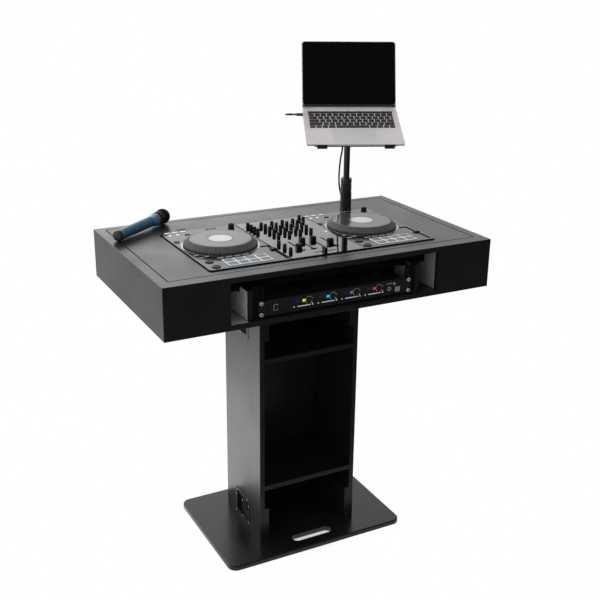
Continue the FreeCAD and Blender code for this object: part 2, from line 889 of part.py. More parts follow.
def mixer_knob(x, y, height):
    return Part.makeCone(mixer_knob_radius, mixer_knob_top_radius, height, Vector(x, y, face_top))


def channel_knobs(x):
    knobs = []
    for row in range(mixer_rows):
        height = eq_knob_height if row in eq_rows else mixer_knob_height
        knobs.append(mixer_knob(x, mixer_last_y + row * mixer_pitch_y, height))
    return knobs


def side_knobs():
    left_x, right_x = span(controller_x, 2 * mixer_side_x)
    places = [(left_x, mixer_left_first_y - i * mixer_left_pitch) for i in range(mixer_left_count)]
    places += [(right_x, mixer_right_first_y - i * mixer_right_pitch) for i in range(mixer_right_count)]
    places += [(left_x, mixer_front_first_y - i * mixer_front_pitch) for i in range(mixer_front_count)]
    return [mixer_knob(x, y, mixer_knob_height) for x, y in places]


def controller():
    save("controller_face", controller_face())
    save("controller_chassis", controller_chassis())
    save("jog_displays", *[jog_display(x) for x in deck_xs])
    pads = []
    for side, x, tempo_rest in zip(("left", "right"), deck_xs, tempo_rest_ys):
        tempo = fader(x + tempo_x, tempo_rest, tempo_cap_length, tempo_cap_width, tempo_cap_height)
        save("jog_" + side, jog_wheel(x))
        save("tempo_fader_" + side, tempo)
        save("browse_knob_" + side, browse_knob(x))
        save("cue_button_" + side, deck_button(x + cue_x, deck_y + cue_y))
        save("play_button_" + side, deck_button(x + cue_x, deck_y + play_y))
        pads += performance_pads(x)
    save("performance_pads", *pads)
    knobs = side_knobs()
    for i, x in enumerate(channel_xs):
        channel = fader(x, channel_rest_ys[i], fader_cap_length, fader_cap_width, fader_cap_height)
        save("channel_fader_" + str(i + 1), channel)
        knobs += channel_knobs(x)
    cross = fader(cross_rest_x, cross_y, cross_cap_length, cross_cap_width, fader_cap_height, along_x=True)
    save("crossfader", cross)
    save("mixer_knobs", *knobs)


# Circuit boards, each on four standoffs
def circuit_board(x, y, seat, standoff):
    """Board over the inside of a case, from the case's inner faces and its floor."""
    x = (x[0] + circuit_margin, x[1] - circuit_margin)
    y = (y[0] + circuit_margin, y[1] - circuit_margin)
    solid = block(x, y, (seat + standoff, seat + standoff + circuit_gauge))
    for post_x in (x[0] + standoff_inset, x[1] - standoff_inset):
        for post_y in (y[0] + standoff_inset, y[1] - standoff_inset):
            solid = solid.fuse(upright(standoff_radius, post_x, post_y, (seat, seat + standoff)))
    return solid.removeSplitter()


def circuit_boards():
    receiver_board = circuit_board(
        span(0, case_width - 2 * case_wall),
        (panel_back, panel_back + case_depth - case_wall),
        receiver_z - case_height / 2 + case_wall,
        receiver_standoff,
    )
    controller_board = circuit_board(
        span(controller_x, controller_width - 2 * chassis_wall),
        span(controller_y, controller_depth - 2 * chassis_wall),
        chassis_bottom + chassis_wall,
        controller_standoff,
    )
    save("circuit_boards", receiver_board, controller_board)


# Laptop stand
def stand_sleeve():
    flange = upright(flange_radius, pole_x, pole_y, (box_top, box_top + flange_thickness))
    flange = flange.makeFillet(edge_round, edges_at(flange, z=box_top + flange_thickness))
    sleeve = flange.fuse(upright(sleeve_radius, pole_x, pole_y, (box_top, box_top + sleeve_height)))
    bore_z = (box_top - overrun, box_top + sleeve_height + overrun)
    return sleeve.cut(upright(pole_radius + running_gap, pole_x, pole_y, bore_z)).removeSplitter()


def stand_clutch():
    """Twist collar that grips the pole."""
    bore = pole_radius + free_gap
    top = clutch_bottom + clutch_height
    return turned([
        (bore, clutch_bottom), (clutch_radius, clutch_bottom), (clutch_radius, top - clutch_taper),
        (clutch_top_radius, top), (bore, top),
    ], pole_x, pole_y)


def stand_pole():
    """Tube with the clip that holds the lead."""
    z = (pole_bottom, pole_top)
    tube = upright(pole_radius, pole_x, pole_y, z)
    clip_top = hub_bottom - clip_drop
    clip_z = (clip_top - clip_height, clip_top)
    eye_x = pole_x + clip_reach * math.cos(math.radians(clip_bearing))
    eye_y = pole_y + clip_reach * math.sin(math.radians(clip_bearing))
    clip = upright(clip_radius, pole_x, pole_y, clip_z).fuse(upright(clip_eye_radius, eye_x, eye_y, clip_z))
    eye = upright(cord_diameter / 2 + free_gap, eye_x, eye_y, (clip_z[0] - overrun, clip_z[1] + overrun))
    bore = upright(pole_radius - pole_wall, pole_x, pole_y, (z[0] - overrun, z[1] + overrun))
    return tube.fuse(clip).cut(eye).cut(bore).removeSplitter()


def laptop_tray():
    """Tilted plate with two front lips, on a hub that turns on the pole."""
    x = span(0, tray_width)
    y = span(0, tray_depth)
    plate = rounded_block(x, y, (-tray_gauge, 0), tray_corner)
    lip_y = (-laptop_depth / 2 - lip_gauge, -laptop_depth / 2)
    for lip_x in span(0, lip_spacing):
        plate = plate.fuse(block(span(lip_x, lip_width), lip_y, (-tray_gauge, lip_height)))
        plate = plate.fuse(block(span(lip_x, lip_width), (lip_y[0], y[0] + tray_corner), (-tray_gauge, 0)))
    plate.Placement = tray_place
    hub = upright(hub_radius, pole_x, pole_y, (hub_bottom, tray_height + tray_reach))
    above = block(span(0, tray_width), span(0, tray_depth), (-tray_gauge / 2, tray_depth))
    above.Placement = tray_place
    hub = hub.cut(above)
    bore_z = (hub_bottom - overrun, pole_top + free_gap)
    return plate.fuse(hub).cut(upright(pole_radius + running_gap, pole_x, pole_y, bore_z)).removeSplitter()


# Laptop, drawn in the tray's own frame: the front edge at -Y, the tray's face at zero height
def hinge_bar(radius, length):
    """Round bar along the line that the screen turns about."""
    return rod(radius, Vector(-length / 2, hinge_y, hinge_z), Vector(length / 2, hinge_y, hinge_z))


def front_bevel():
    """Wedge that thins the laptop's front edge from below."""
    front = -laptop_depth / 2 - overrun
    back = laptop_bevel - laptop_depth / 2
    rise = (laptop_thickness - laptop_edge) * (back - front) / laptop_bevel
    start = -laptop_width / 2 - overrun
    corners = [(front, -overrun), (back, -overrun), (back, 0), (front, rise)]
    points = [Vector(start, y, z) for y, z in corners]
    face = Part.Face(Part.makePolygon(points + points[:1]))
    return face.extrude(Vector(laptop_width + 2 * overrun, 0, 0))


def laptop_base():
    x = span(0, laptop_width)
    y = span(0, laptop_depth)
    body = rounded_block(x, y, (0, laptop_thickness), laptop_corner).cut(front_bevel())
    keys_y = (y[1] - keyboard_back_margin - keyboard_depth, y[1] - keyboard_back_margin)
    keys_z = (laptop_thickness - keyboard_recess, laptop_thickness + overrun)
    body = body.cut(block(span(0, keyboard_width), keys_y, keys_z))
    body = body.cut(hinge_bar(hinge_radius + free_gap, hinge_length + 2 * free_gap))
    body.Placement = tray_place
    return body


def laptop_lid():
    """Screen half, drawn shut and then opened."""
    x = span(0, laptop_width)
    y = (-laptop_depth / 2, hinge_y)
    panel = block(x, y, (hinge_z, hinge_z + screen_thickness))
    panel = panel.makeFillet(laptop_corner, corner_edges(panel, x, (y[0],)))
    lid = panel.fuse(hinge_bar(hinge_radius, hinge_length)).removeSplitter()
    lid.rotate(Vector(0, hinge_y, hinge_z), Vector(-1, 0, 0), screen_angle)
    lid.Placement = tray_place.multiply(lid.Placement)
    return lid


# Microphone, a hollow body closed by its grille, lying on its butt and its grille
def grille_form(inset, bottom):
    """Ball on a straight band, drawn in by an inset all round."""
    grille_z = mic_length + grille_sink
    ball = Part.makeSphere(grille_radius - inset, Vector(0, 0, grille_z))
    return ball.fuse(upright(mic_ring_radius - inset, 0, 0, (bottom, grille_z)))


def microphone():
    grille_z = mic_length + grille_sink
    shoulder = mic_neck_length + mic_ring_length
    body = turned([
        (0, 0), (mic_butt_radius - mic_butt_round, 0), (mic_butt_radius, mic_butt_round),
        (mic_butt_radius, mic_cap_length), (mic_neck_radius, mic_neck_length),
        (mic_ring_radius, shoulder), (mic_ring_radius, mic_length), (mic_ring_radius - mic_wall, mic_length),
        (mic_ring_radius - mic_wall, shoulder), (mic_neck_radius - mic_wall, mic_neck_length),
        (mic_butt_radius - mic_wall, mic_cap_length), (mic_butt_radius - mic_wall, mic_butt_round),
        (0, mic_butt_round),
    ], 0, 0)
    grille = grille_form(0, mic_length).cut(grille_form(grille_wall, mic_length - overrun))
    lean = math.degrees(math.asin((grille_radius - mic_butt_radius) / (grille_z - mic_butt_round)))
    lay = Rotation(Vector(0, 0, 1), mic_heading).multiply(Rotation(Vector(0, 1, 0), 90 - lean))
    axis = lay.multVec(Vector(0, 0, 1))
    butt_z = box_top + free_gap + grille_radius - axis.z * grille_z
    place = FreeCAD.Placement(Vector(mic_x, mic_y, butt_z), lay)
    for node, solid in (("mic_body", body), ("mic_grille", grille)):
        solid.Placement = place.multiply(solid.Placement)
        save(node, solid)


# Lead with its plug
def cord(name, route):
    """Round tube of straight runs joined by arcs, each as large as its two runs allow."""
    points = [Vector(*point) for point in route]
    here = points[0]
    edges = []
    radii = []
    for before, corner, after in zip(points, points[1:], points[2:]):
        back = (before - corner).normalize()
        ahead = (after - corner).normalize()
        turn = math.pi - back.getAngle(ahead)
        trim = cord_arc_share * min(before.distanceToPoint(corner), corner.distanceToPoint(after))
        radius = trim / math.tan(turn / 2)
        inward = (back + ahead).normalize()
        middle = corner + inward * (radius / math.cos(turn / 2) - radius)
        start = corner + back * trim
        end = corner + ahead * trim
        edges.append(Part.LineSegment(here, start).toShape())
        edges.append(Part.Arc(start, middle, end).toShape())
        radii.append(radius)
        here = end
    edges.append(Part.LineSegment(here, points[-1]).toShape())
    path = Part.Wire(edges)
    ring = Part.Wire(Part.makeCircle(cord_diameter / 2, points[0], points[1] - points[0]))
    tube = path.makePipeShell([ring], True, False)
    expected = path.Length * math.pi * cord_diameter ** 2 / 4
    print(name, "radii", [round(radius, 1) for radius in radii], "length", round(path.Length, 1),
          "volume share", round(tube.Volume / expected, 4))
    return tube


def cord_plug():
    """Moulded plug with a tapered relief, at the laptop's left side."""
    y = laptop_depth / 2 - plug_from_hinge
    z = laptop_thickness / 2
    edge = -laptop_width / 2
    body_x = (edge - plug_length, edge)
    body_y = span(y, plug_width)
    body_z = span(z, plug_height)
    body = block(body_x, body_y, body_z)
    long_edges = [one for side in body_y for level in body_z for one in edges_at(body, y=side, z=level)]
    body = body.makeFillet(plug_height / 3, long_edges)
    relief_start = Vector(body_x[0], y, z)
    relief = Part.makeCone(relief_radius, cord_diameter / 2, relief_length, relief_start, Vector(-1, 0, 0))
    plug = body.fuse(relief)
    plug.Placement = tray_place
    return plug


def laptop_stand():
    save("stand_sleeve", stand_sleeve())
    save("stand_clutch", stand_clutch())
    save("stand_pole", stand_pole())
    save("laptop_tray", laptop_tray())
    save("laptop_base", laptop_base())
    save("laptop_lid", laptop_lid())
    save("cord_plug", cord_plug())
    save("cord_upper", cord("cord_upper", upper_route))
    save("cord_lower", cord("cord_lower", lower_route))


save("base_plate", base_plate())
column()
latches()
equipment_box()
receiver()
controller()
circuit_boards()
laptop_stand()
microphone()
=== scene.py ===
import json
import math
import random

import bmesh
import bpy
from mathutils import Matrix, Vector


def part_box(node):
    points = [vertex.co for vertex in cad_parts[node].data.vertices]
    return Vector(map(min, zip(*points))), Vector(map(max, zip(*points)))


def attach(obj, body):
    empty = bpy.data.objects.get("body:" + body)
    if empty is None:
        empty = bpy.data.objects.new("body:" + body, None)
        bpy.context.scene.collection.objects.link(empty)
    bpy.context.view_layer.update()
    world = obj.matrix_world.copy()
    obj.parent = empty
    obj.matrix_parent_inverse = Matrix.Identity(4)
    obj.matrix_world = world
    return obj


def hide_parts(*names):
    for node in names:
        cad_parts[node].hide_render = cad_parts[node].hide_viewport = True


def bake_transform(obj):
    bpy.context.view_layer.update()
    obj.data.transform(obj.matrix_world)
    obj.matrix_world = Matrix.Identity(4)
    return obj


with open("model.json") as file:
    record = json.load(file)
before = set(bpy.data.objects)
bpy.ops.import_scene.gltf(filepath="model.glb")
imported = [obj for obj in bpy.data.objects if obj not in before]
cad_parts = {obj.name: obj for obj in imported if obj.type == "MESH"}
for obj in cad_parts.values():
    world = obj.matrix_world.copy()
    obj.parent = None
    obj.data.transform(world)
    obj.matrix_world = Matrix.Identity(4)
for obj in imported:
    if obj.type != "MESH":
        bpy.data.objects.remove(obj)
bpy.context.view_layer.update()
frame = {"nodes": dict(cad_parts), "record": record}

# Every length is in millimetres, and MM turns it into metres
MM = 0.001
ROUND_SIDES = 48
SHARP_ANGLE = math.radians(32)
weld_distance = 0.0005
same_place = 0.01
facing_share = 0.5

# Camera
lens = 56.7366
sensor_width = 36.0
camera_azimuth = -27.86
camera_elevation = 19.89
camera_roll = 0.7
camera_eye = (-1238.46, -2400.31, 1727.24)

# Light
sky_level = 0.5
mirror_bright = 1.03
mirror_dim = 0.05
mirror_back_span = (-0.35, 0.45)
mirror_heights = (0.2, 1.0)
mirror_low_share = 1.2
mirror_high_share = 0.6
mirror_sides = (0.2, 0.6)
mirror_left_share = 1.4
mirror_right_share = 0.68
strip_sides = (-0.97, -0.8)
strip_level = 1.2
floor_strip_sides = (-3200.0, -1700.0)
floor_strip_level = 0.9
floor_back_span = (-600.0, 500.0)
floor_mirror_near = 1.8
floor_mirror_far = 0.61
floor_mirror_reach = (700.0, 2200.0)
lamp_size = 2600.0
lamps = [
    ("lamp_top", 26.0, (-300, 200, 3200), (0, 0, 900)),
    ("lamp_back", 30.0, (-1200, 2600, 2400), (0, 0, 800)),
    ("lamp_left", 12.0, (-2800, 200, 1900), (0, 0, 700)),
    ("lamp_front", 9.0, (-2400, -2600, 1500), (0, -200, 800)),
]
floor_size = 40000.0
floor_tone = 0.82
floor_white_near_share = 0.5
shadow_reach = (170.0, 240.0)

# Grain and clouds of every finish, and the lead's flecks
noise_detail = 3.0
cloud_span = (0.3, 0.7)
least_rough = 0.02
fleck_span = (0.16, 0.24)
fleck_pitch = 5.5
fleck_color = (0.6, 0.6, 0.6)

# Finishes: colour, roughness, sizes of the grain and clouds, and what differs from surface's defaults
finishes = {
    "board_black": ((0.0105, 0.0105, 0.011), 0.28, 1.6, 160.0, {"bump": 0.1}),
    # Bare board tone for the dividers' side faces, partly painted light where they catch the light; the
    # paler copy below is painted light for the left pocket
    "bare_board_and_painted_light": ((0.27, 0.245, 0.23), 0.6, 1.6, 60.0, {"specular": 0.3}),
    "left_board_painted_light": ((0.62, 0.58, 0.55), 0.6, 1.6, 60.0, {"specular": 0.3}),
    "latch_black": ((0.012, 0.012, 0.013), 0.34, 0.8, 14.0, {"specular": 0.6}),
    "rivet_steel": ((0.3, 0.3, 0.3), 0.35, 0.4, 5.0, {"metallic": 0.5}),
    "rack_black": ((0.01, 0.01, 0.01), 0.45, 0.6, 20.0, {}),
    "screw_chrome": ((0.8, 0.77, 0.74), 0.3, 0.5, 3.0, {"metallic": 0.4}),
    # Near-black for matt trims, and as painted shade in gaps, holes and recesses
    "black_trim_and_painted_shade": ((0.004, 0.004, 0.004), 0.8, 0.5, 5.0, {"specular": 0.1}),
    "receiver_black": ((0.012, 0.012, 0.013), 0.4, 0.5, 20.0, {}),
    "case_black": ((0.02, 0.02, 0.021), 0.45, 0.8, 40.0, {"metallic": 0.3}),
    "knob_black": ((0.018, 0.018, 0.019), 0.6, 0.4, 6.0, {"specular": 0.2}),
    "cap_black": ((0.011, 0.011, 0.012), 0.3, 0.4, 6.0, {}),
    "deck_black": ((0.065, 0.065, 0.066), 0.12, 0.5, 60.0, {"metallic": 1.0, "spread": 0.02, "bump": 0.02}),
    "mixer_grey": ((0.14, 0.14, 0.141), 0.05, 0.5, 30.0,
                   {"metallic": 1.0, "spread": 0.02, "bump": 0.01, "stretch": (0.15, 1.0, 1.0)}),
    "jog_rubber": ((0.05, 0.05, 0.051), 0.55, 0.6, 10.0, {"bump": 0.2}),
    "jog_grey": ((0.085, 0.085, 0.087), 0.1, 0.5, 40.0,
                 {"metallic": 0.35, "specular": 0.6, "spread": 0.03, "bump": 0.02}),
    "silver_trim": ((0.6, 0.6, 0.61), 0.3, 0.4, 12.0, {"metallic": 0.85}),
    "button_black": ((0.014, 0.014, 0.015), 0.55, 0.4, 8.0, {"specular": 0.3}),
    "pad_rubber": ((0.16, 0.165, 0.17), 0.5, 0.6, 14.0, {"bump": 0.2}),
    "print_white": ((0.62, 0.65, 0.68), 0.5, 0.3, 6.0, {}),
    "print_grey": ((0.24, 0.24, 0.245), 0.5, 0.3, 6.0, {}),
    "circuit_green": ((0.02, 0.11, 0.05), 0.45, 0.7, 9.0, {"shade": 0.3}),
    "stand_black": ((0.02, 0.02, 0.021), 0.22, 0.8, 25.0, {"bump": 0.04}),
    "clutch_rubber": ((0.024, 0.024, 0.025), 0.3, 0.6, 8.0, {}),
    "laptop_metal": ((0.64, 0.61, 0.605), 0.42, 0.3, 60.0, {"metallic": 0.3, "shade": 0.05}),
    "trackpad_metal": ((0.58, 0.575, 0.59), 0.4, 0.3, 50.0, {"metallic": 0.3, "shade": 0.04}),
    "key_black": ((0.022, 0.019, 0.02), 0.5, 0.4, 9.0, {}),
    "screen_glass": ((0.002, 0.0022, 0.003), 0.1, 1.0, 60.0,
                     {"specular": 0.25, "spread": 0.03, "bump": 0.01}),
    "chin_grey": ((0.02, 0.0205, 0.022), 0.45, 0.4, 20.0, {}),
    "lead_braid": ((0.005, 0.005, 0.005), 0.6, 0.9, 6.0, {"specular": 0.15, "bump": 0.5, "depth": 0.3}),
    "plug_plastic": ((0.03, 0.03, 0.031), 0.45, 0.4, 6.0, {}),
    "mic_blue": ((0.038, 0.125, 0.215), 0.26, 0.5, 14.0, {"metallic": 0.55, "coat": 0.25}),
    "mic_pale_blue": ((0.2, 0.38, 0.52), 0.26, 0.4, 8.0, {"metallic": 0.7}),
    "mic_black": ((0.014, 0.014, 0.015), 0.42, 0.6, 6.0, {}),
    "mic_bronze": ((0.26, 0.24, 0.22), 0.35, 0.4, 5.0, {"metallic": 0.6}),
    "grille_wire": ((0.011, 0.011, 0.012), 0.55, 0.3, 5.0, {"specular": 0.3, "metallic": 0.2}),
    "grille_foam": ((0.006, 0.006, 0.006), 0.9, 0.7, 5.0, {"bump": 0.6, "depth": 0.5}),
}

# Glowing finishes: colour, level and roughness; the receiver's print among them glows as painted light
glows = {
    "display_white": ((0.5, 0.5, 0.51), 0.08, 0.15),
    "pad_glow": ((0.56, 0.62, 0.68), 0.3, 0.4),
    "lit_white": ((0.8, 0.82, 0.85), 0.3, 0.4),
    "print_painted_glow": ((0.5, 0.55, 0.6), 0.3, 0.4),
    "light_yellow": ((0.75, 0.62, 0.02), 0.5, 0.4),
    "light_cyan": ((0.02, 0.42, 0.72), 0.5, 0.4),
    "light_purple": ((0.28, 0.07, 0.3), 0.5, 0.4),
    "light_red": ((0.65, 0.02, 0.02), 0.5, 0.4),
    "display_blue": ((0.012, 0.018, 0.035), 0.1, 0.15),
}
glow_grain = 1.2
glow_cloud = 20.0
glow_shade = 0.06
channel_lights = ("light_yellow", "light_cyan", "light_purple", "light_red")

# Finishes of the frame's own pieces, by slot, and of those that differ
slot_materials = {
    "board_paint": "board_black", "latch_paint": "latch_black", "rack_paint": "rack_black",
    "screw_metal": "screw_chrome", "receiver_paint": "receiver_black", "case_metal": "case_black",
    "knob_plastic": "knob_black",
    "controller_plastic": "deck_black", "jog_plastic": "jog_rubber", "display_plastic": "display_white",
    "button_plastic": "button_black", "pad_rubber": "pad_rubber", "circuit": "circuit_green",
    "stand_paint": "stand_black", "clutch_rubber": "clutch_rubber", "laptop_metal": "laptop_metal",
    "lead_rubber": "lead_braid", "plug_plastic": "plug_plastic", "mic_paint": "mic_blue",
    "grille_metal": "grille_wire",
}
# The controller's chassis and the rack rails take the near-black as painted shade, for the shade of the gap
# and the bay they sit in
node_materials = {"controller_chassis": "black_trim_and_painted_shade", "rack_rails": "black_trim_and_painted_shade"}

# Lead
lead_diameter = 5.6
lead_sides = 12
route_order = 3
lower_route = [
    (290.5, 212.5, 1165.0), (290.5, 212.5, 1150.0), (286.8, 215.0, 1128.0), (284.8, 217.8, 1100.0),
    (284.9, 221.1, 1068.0), (287.0, 224.0, 1044.0), (291.8, 227.7, 1020.0), (298.8, 230.2, 1000.0),
    (303.7, 231.0, 975.0), (303.7, 231.0, 950.0),
]
upper_route = [
    (158.97, 303.35, 1256.27), (146.11, 308.89, 1256.27), (141.3, 323.0, 1254.6), (150.5, 340.0, 1252.0),
    (172.0, 346.5, 1250.5), (200.0, 340.0, 1248.0), (228.0, 322.0, 1239.6), (251.4, 299.0, 1228.5),
    (269.6, 273.3, 1214.9), (282.0, 252.5, 1205.0), (288.8, 236.5, 1200.5), (288.7, 221.5, 1196.0),
    (290.0, 214.0, 1185.0), (290.5, 212.5, 1174.0), (290.5, 212.5, 1165.0),
]

# Laptop, in the tray's frame: x across, y to the hinge, z up from the tray
tray_yaw = -23.3
tray_tilt = 22.4
hinge_back = 106.5
hinge_rise = 11.3
deck_level = 11.0
screen_angle = 129.4
laptop_depth = 212.0
keyboard_half = 138.0
keyboard_back = 88.0
keyboard_depth = 100.0
keyboard_sink = 1.4
keyboard_side_inset = 2.0
keyboard_end_inset = 1.5
key_gap = 3.0
key_columns = 14
key_counts = [
    [1, 1, 1, 1.25, 5.5, 1.25, 1, 1, 1], [2.25] + [1] * 10, [1.75] + [1] * 11, [1.5] + [1] * 12, [1] * 13,
]
key_rise = 1.1
key_corner = 0.7
strip_depth = 9.0
trackpad_half = 68.0
trackpad_depth = 86.5
trackpad_front = 2.5
trackpad_rise = 0.25
trackpad_corner = 3.0
bezel = 2.2
chin = 11.0
glass_gauge = 0.3
glass_corner = 8.0
chin_gauge = 0.2
chin_start = 4.0
chin_gap = 0.4
chin_corner = 0.8
speaker_holes = 22
speaker_hole_radius = 0.55
speaker_hole_sides = 8
speaker_columns = 3
speaker_start = 4.0
speaker_pitch = 2.6
speaker_front = 3.0
speaker_end = 8.0
speaker_levels = (-0.2, 0.05)

# Box: painted shade along the joint round the lid, and a patch of painted reflection on the floor of the
# pocket left of the rack bay
lid_gap_width = 3.2
pocket_sides = (-325.0, -274.0)
pocket_reach = (-288.0, -167.0)

# Latches, with each rivet's place back from the booth's middle and up from its latch's level
latch_levels = (71.0, 708.0)
rivet_spots = [(y, z) for y in (-41, 5, 51) for z in (-36, 22)] + [(-30, 43), (40, 43)]
rivet_profile = [(3.2, 0), (2.9, 0.8), (1.8, 1.5), (0, 1.8)]
rivet_sides = 20

# Controller, with places on a deck measured from its wheel and the mixer's from the controller's middle
mixer_half = 117.0
mixer_inset = 1.5
plate_gauge = 0.25
slot_width = 4.0
slot_margin = 4.5
slot_trim = 0.7
tempo_trim = 2.4
trim_gauge = 0.12
seam_width = 2.6
gap_depth = 1.5
gap_gauge = 1.0
gap_width = 2.4
cap_gap = 0.5
cap_dip = 2.4
cap_dip_share = 0.25
cap_profile_shares = [(1.0, 0.0), (1.0, 0.3), (0.84, 1.0), (0.5, 1.0)]
cap_hollow_share = 0.2
cap_line_inset = 1.0
shaft_radius = 3.0
knob_gap = 0.3
jog_notches = 54
jog_notch_depth = 1.3
jog_notch_steps = 2
jog_notch_rows = (1, 2, 3)
jog_steps = 6
jog_rim_height = 6.5
jog_foot = (4.0, 1.0)
jog_slope = (3.5, 1.6)
jog_lip = (1.5, 0.6)
jog_plate_radius = 88.5
jog_plate_gap = 0.3
jog_plate_depth = 3.0
jog_plate_edge = (0.9, 0.8)
jog_edge_groove = ((5.0, 0), (5.6, 0.5), (6.2, 0))
jog_hub_radius = 34.2
jog_hub_groove = ((6.0, 0), (5.3, 0.5), (4.6, 0))
ring_inner = 107.5
ring_outer = 111.5
ring_gauge = 0.4
mixer_knob_radius = 6.0
knob_near_share = 2.2
knob_seed = 7
knob_turn = 130
knob_flutes = 16
knob_flute_depth = 0.5
flute_steps = 3
knob_skirt = (2.2, 2.8)
knob_grip_share = 0.93
knob_top_share = 0.84
browse_top_share = 0.92
volume_top_share = 0.9
knob_edge = 0.8
pointer_width = 1.3
pointer_gauge = 0.25
pointer_start_share = 0.15
pointer_inset = 0.9
side_mark = (0.6, 0.2)
side_mark_start_share = 0.35
side_mark_inset = 0.6
glow_margin = 2.4
glow_drop = 0.3
tick_count = 11
tick_offset = 7.0
tick_length = 4.0
tick_width = 0.6
patch_size = (28.0, 12.0)
patch_shift = -9.0
switch_size = (17.0, 5.0)
switch_y = -135.0
stem_size = (2.4, 6.0)
line_width = 1.1
print_gauge = 0.12
small_rise = 1.4
small_corner = 1.0
key_corner_share = 1 / 3
button_edge = 0.4
lit_round_radius = 4.8
dark_round_radius = 8.5
small_key_border = 1.2
lit_keys = [((16.0, 5.5), [(-98, 171), (-74, 171), (-48, 171)])]
lit_rounds = [(-99, 142.5), (-75, 142.5)]
dark_keys = [((15.0, 7.0), [(-47, 136)])]
dark_rounds = [(-103, 75)]
small_keys = [((13.6, 7.6), [(-101, -68), (-99, -97), (-79, -90)])]
pale_keys = [
    ((19.0, 7.0), [(-50, -117.5), (-25, -117.5), (0, -117.5), (25, -117.5)]),
    ((9.0, 5.0), [(28, 168), (39.5, 168), (51.5, 168)]),
]
mixer_light_spot = (99, 6)
mixer_light_radius = 4.0
mixer_lines = [((22.0, 1.4), [(83, 2), (96, -36)])]
button_ring = (9.4, 10.8)

# Receiver front, across and up from each channel's knob, and then across the booth and up from the floor
display_spot = (-33.0, 3.6)
display_size = (22.0, 12.0)
light_spot = (-16.0, 1.6)
light_size = (9.5, 7.5)
light_corner = 2.0
bar_ends = (-36.0, 5.0)
bar_drop = -13.4
bar_width = 2.4
blob_places = (-46.0, 11.5)
blob_size = 3.6
arc_radii = (9.4, 11.6)
arc_ticks = 9
arc_start = -40.0
arc_step = 32.5
arc_tick_width = 1.2
volume_radius = 8.0
volume_shaft_radius = 3.0
volume_turn = -150.0
front_gauge = 0.35
front_rise = 1.2
switch_border = 1.6
hole_spot = (-215.7, 851.0)
hole_radius = 2.6
label_spot = (168.0, 863.5)
label_size = (19.0, 2.2)
round_spot = (184.6, 861.1)
round_radius = 4.0
jack_spot = (168.1, 847.9)
jack_radii = (3.2, 6.2)
socket_spot = (195.6, 843.7)
socket_size = (16.5, 14.5)
rack_hole_rise = 31.75
screw_slot = (6.4, 2.2)
screw_slot_depth = 0.08

# Stand
clutch_bore = 10.3
clutch_top_radius = 16.6
clutch_taper = 4.0
clutch_grooves = (5.0, 28.0)
clutch_groove_depth = 1.2
clutch_groove_halves = (2.0, 1.0)
clutch_flutes = 24
clutch_flute_depth = 0.5

# Microphone, along its axis from the butt
mic_heading = 34.8
mic_start = (-486.2, 151.4)
grille_radius = 23.3
grille_at = 224.6
mic_butt_radius = 15.5
mic_butt_round = 3.0
mic_butt_edge = 0.9
mic_cap = 17.0
mic_cap_ring = 3.5
mic_neck = 162.0
mic_neck_radius = 16.3
mic_shoulder = 184.0
mic_collar = 187.0
mic_ring_radius = 20.5
mic_flare_edge = (0.8, 1.0)
mic_flare_inset = 0.4
mic_band_inset = 0.3
mic_grooves = (58.0, 112.0, 155.0)
mic_groove_depth = 0.5
mic_groove_width = 1.2
wire_radius = 0.42
wire_sides = 6
wire_rings = 20
wire_ring_sides = 40
wire_ring_shift = 0.6
wire_spokes = 44
spoke_sides = 5
spoke_steps = 14
spoke_starts = (0.3, 0.06)
grille_band = (1.6, 2.2)
grille_collar = 2.0
foam_inset = 2.2
foam_steps = 16


# Small helpers
def node_box(node):
    low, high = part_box(node)
    return Vector(low) / MM, Vector(high) / MM


def middle(node):
    low, high = node_box(node)
    return (low + high) / 2


def span(center, width):
    return (center - width / 2, center + width / 2)


def metres(lengths):
    return [length * MM for length in lengths]


def at(x, y, z):
    return Matrix.Translation((x, y, z))


def turn(angle, axis):
    return Matrix.Rotation(math.radians(angle), 4, axis)


def place(mesh, points, faces, matrix):
    made = [mesh.verts.new(matrix @ Vector(point)) for point in points]
    for face in faces:
        mesh.faces.new([made[i] for i in face])
    return made


def block(mesh, x, y, z, matrix=Matrix()):
    points = [(a, b, c) for c in z for b in y for a in x]
    faces = [(0, 2, 3, 1), (4, 5, 7, 6), (0, 1, 5, 4), (1, 3, 7, 5), (3, 2, 6, 7), (2, 0, 4, 6)]
    place(mesh, points, faces, matrix)


def rounded(x, y, corner, steps=5):
    outline = []
    corners = [(x[1], y[1], 0), (x[0], y[1], 90), (x[0], y[0], 180), (x[1], y[0], 270)]
    for cx, cy, start in corners:
        ox = cx - corner if start in (0, 270) else cx + corner
        oy = cy - corner if start in (0, 90) else cy + corner
        for i in range(steps + 1):
            angle = math.radians(start + 90 * i / steps)
            outline.append((ox + corner * math.cos(angle), oy + corner * math.sin(angle)))
    return outline


def prism(mesh, outline, z, matrix=Matrix()):
    count = len(outline)
    points = [(a, b, z[0]) for a, b in outline] + [(a, b, z[1]) for a, b in outline]
    faces = [(i, (i + 1) % count, count + (i + 1) % count, count + i) for i in range(count)]
    faces.append(tuple(reversed(range(count))))
    faces.append(tuple(range(count, 2 * count)))
    place(mesh, points, faces, matrix)


def plate(mesh, x, y, z, corner, matrix=Matrix()):
    prism(mesh, rounded(x, y, corner), z, matrix)


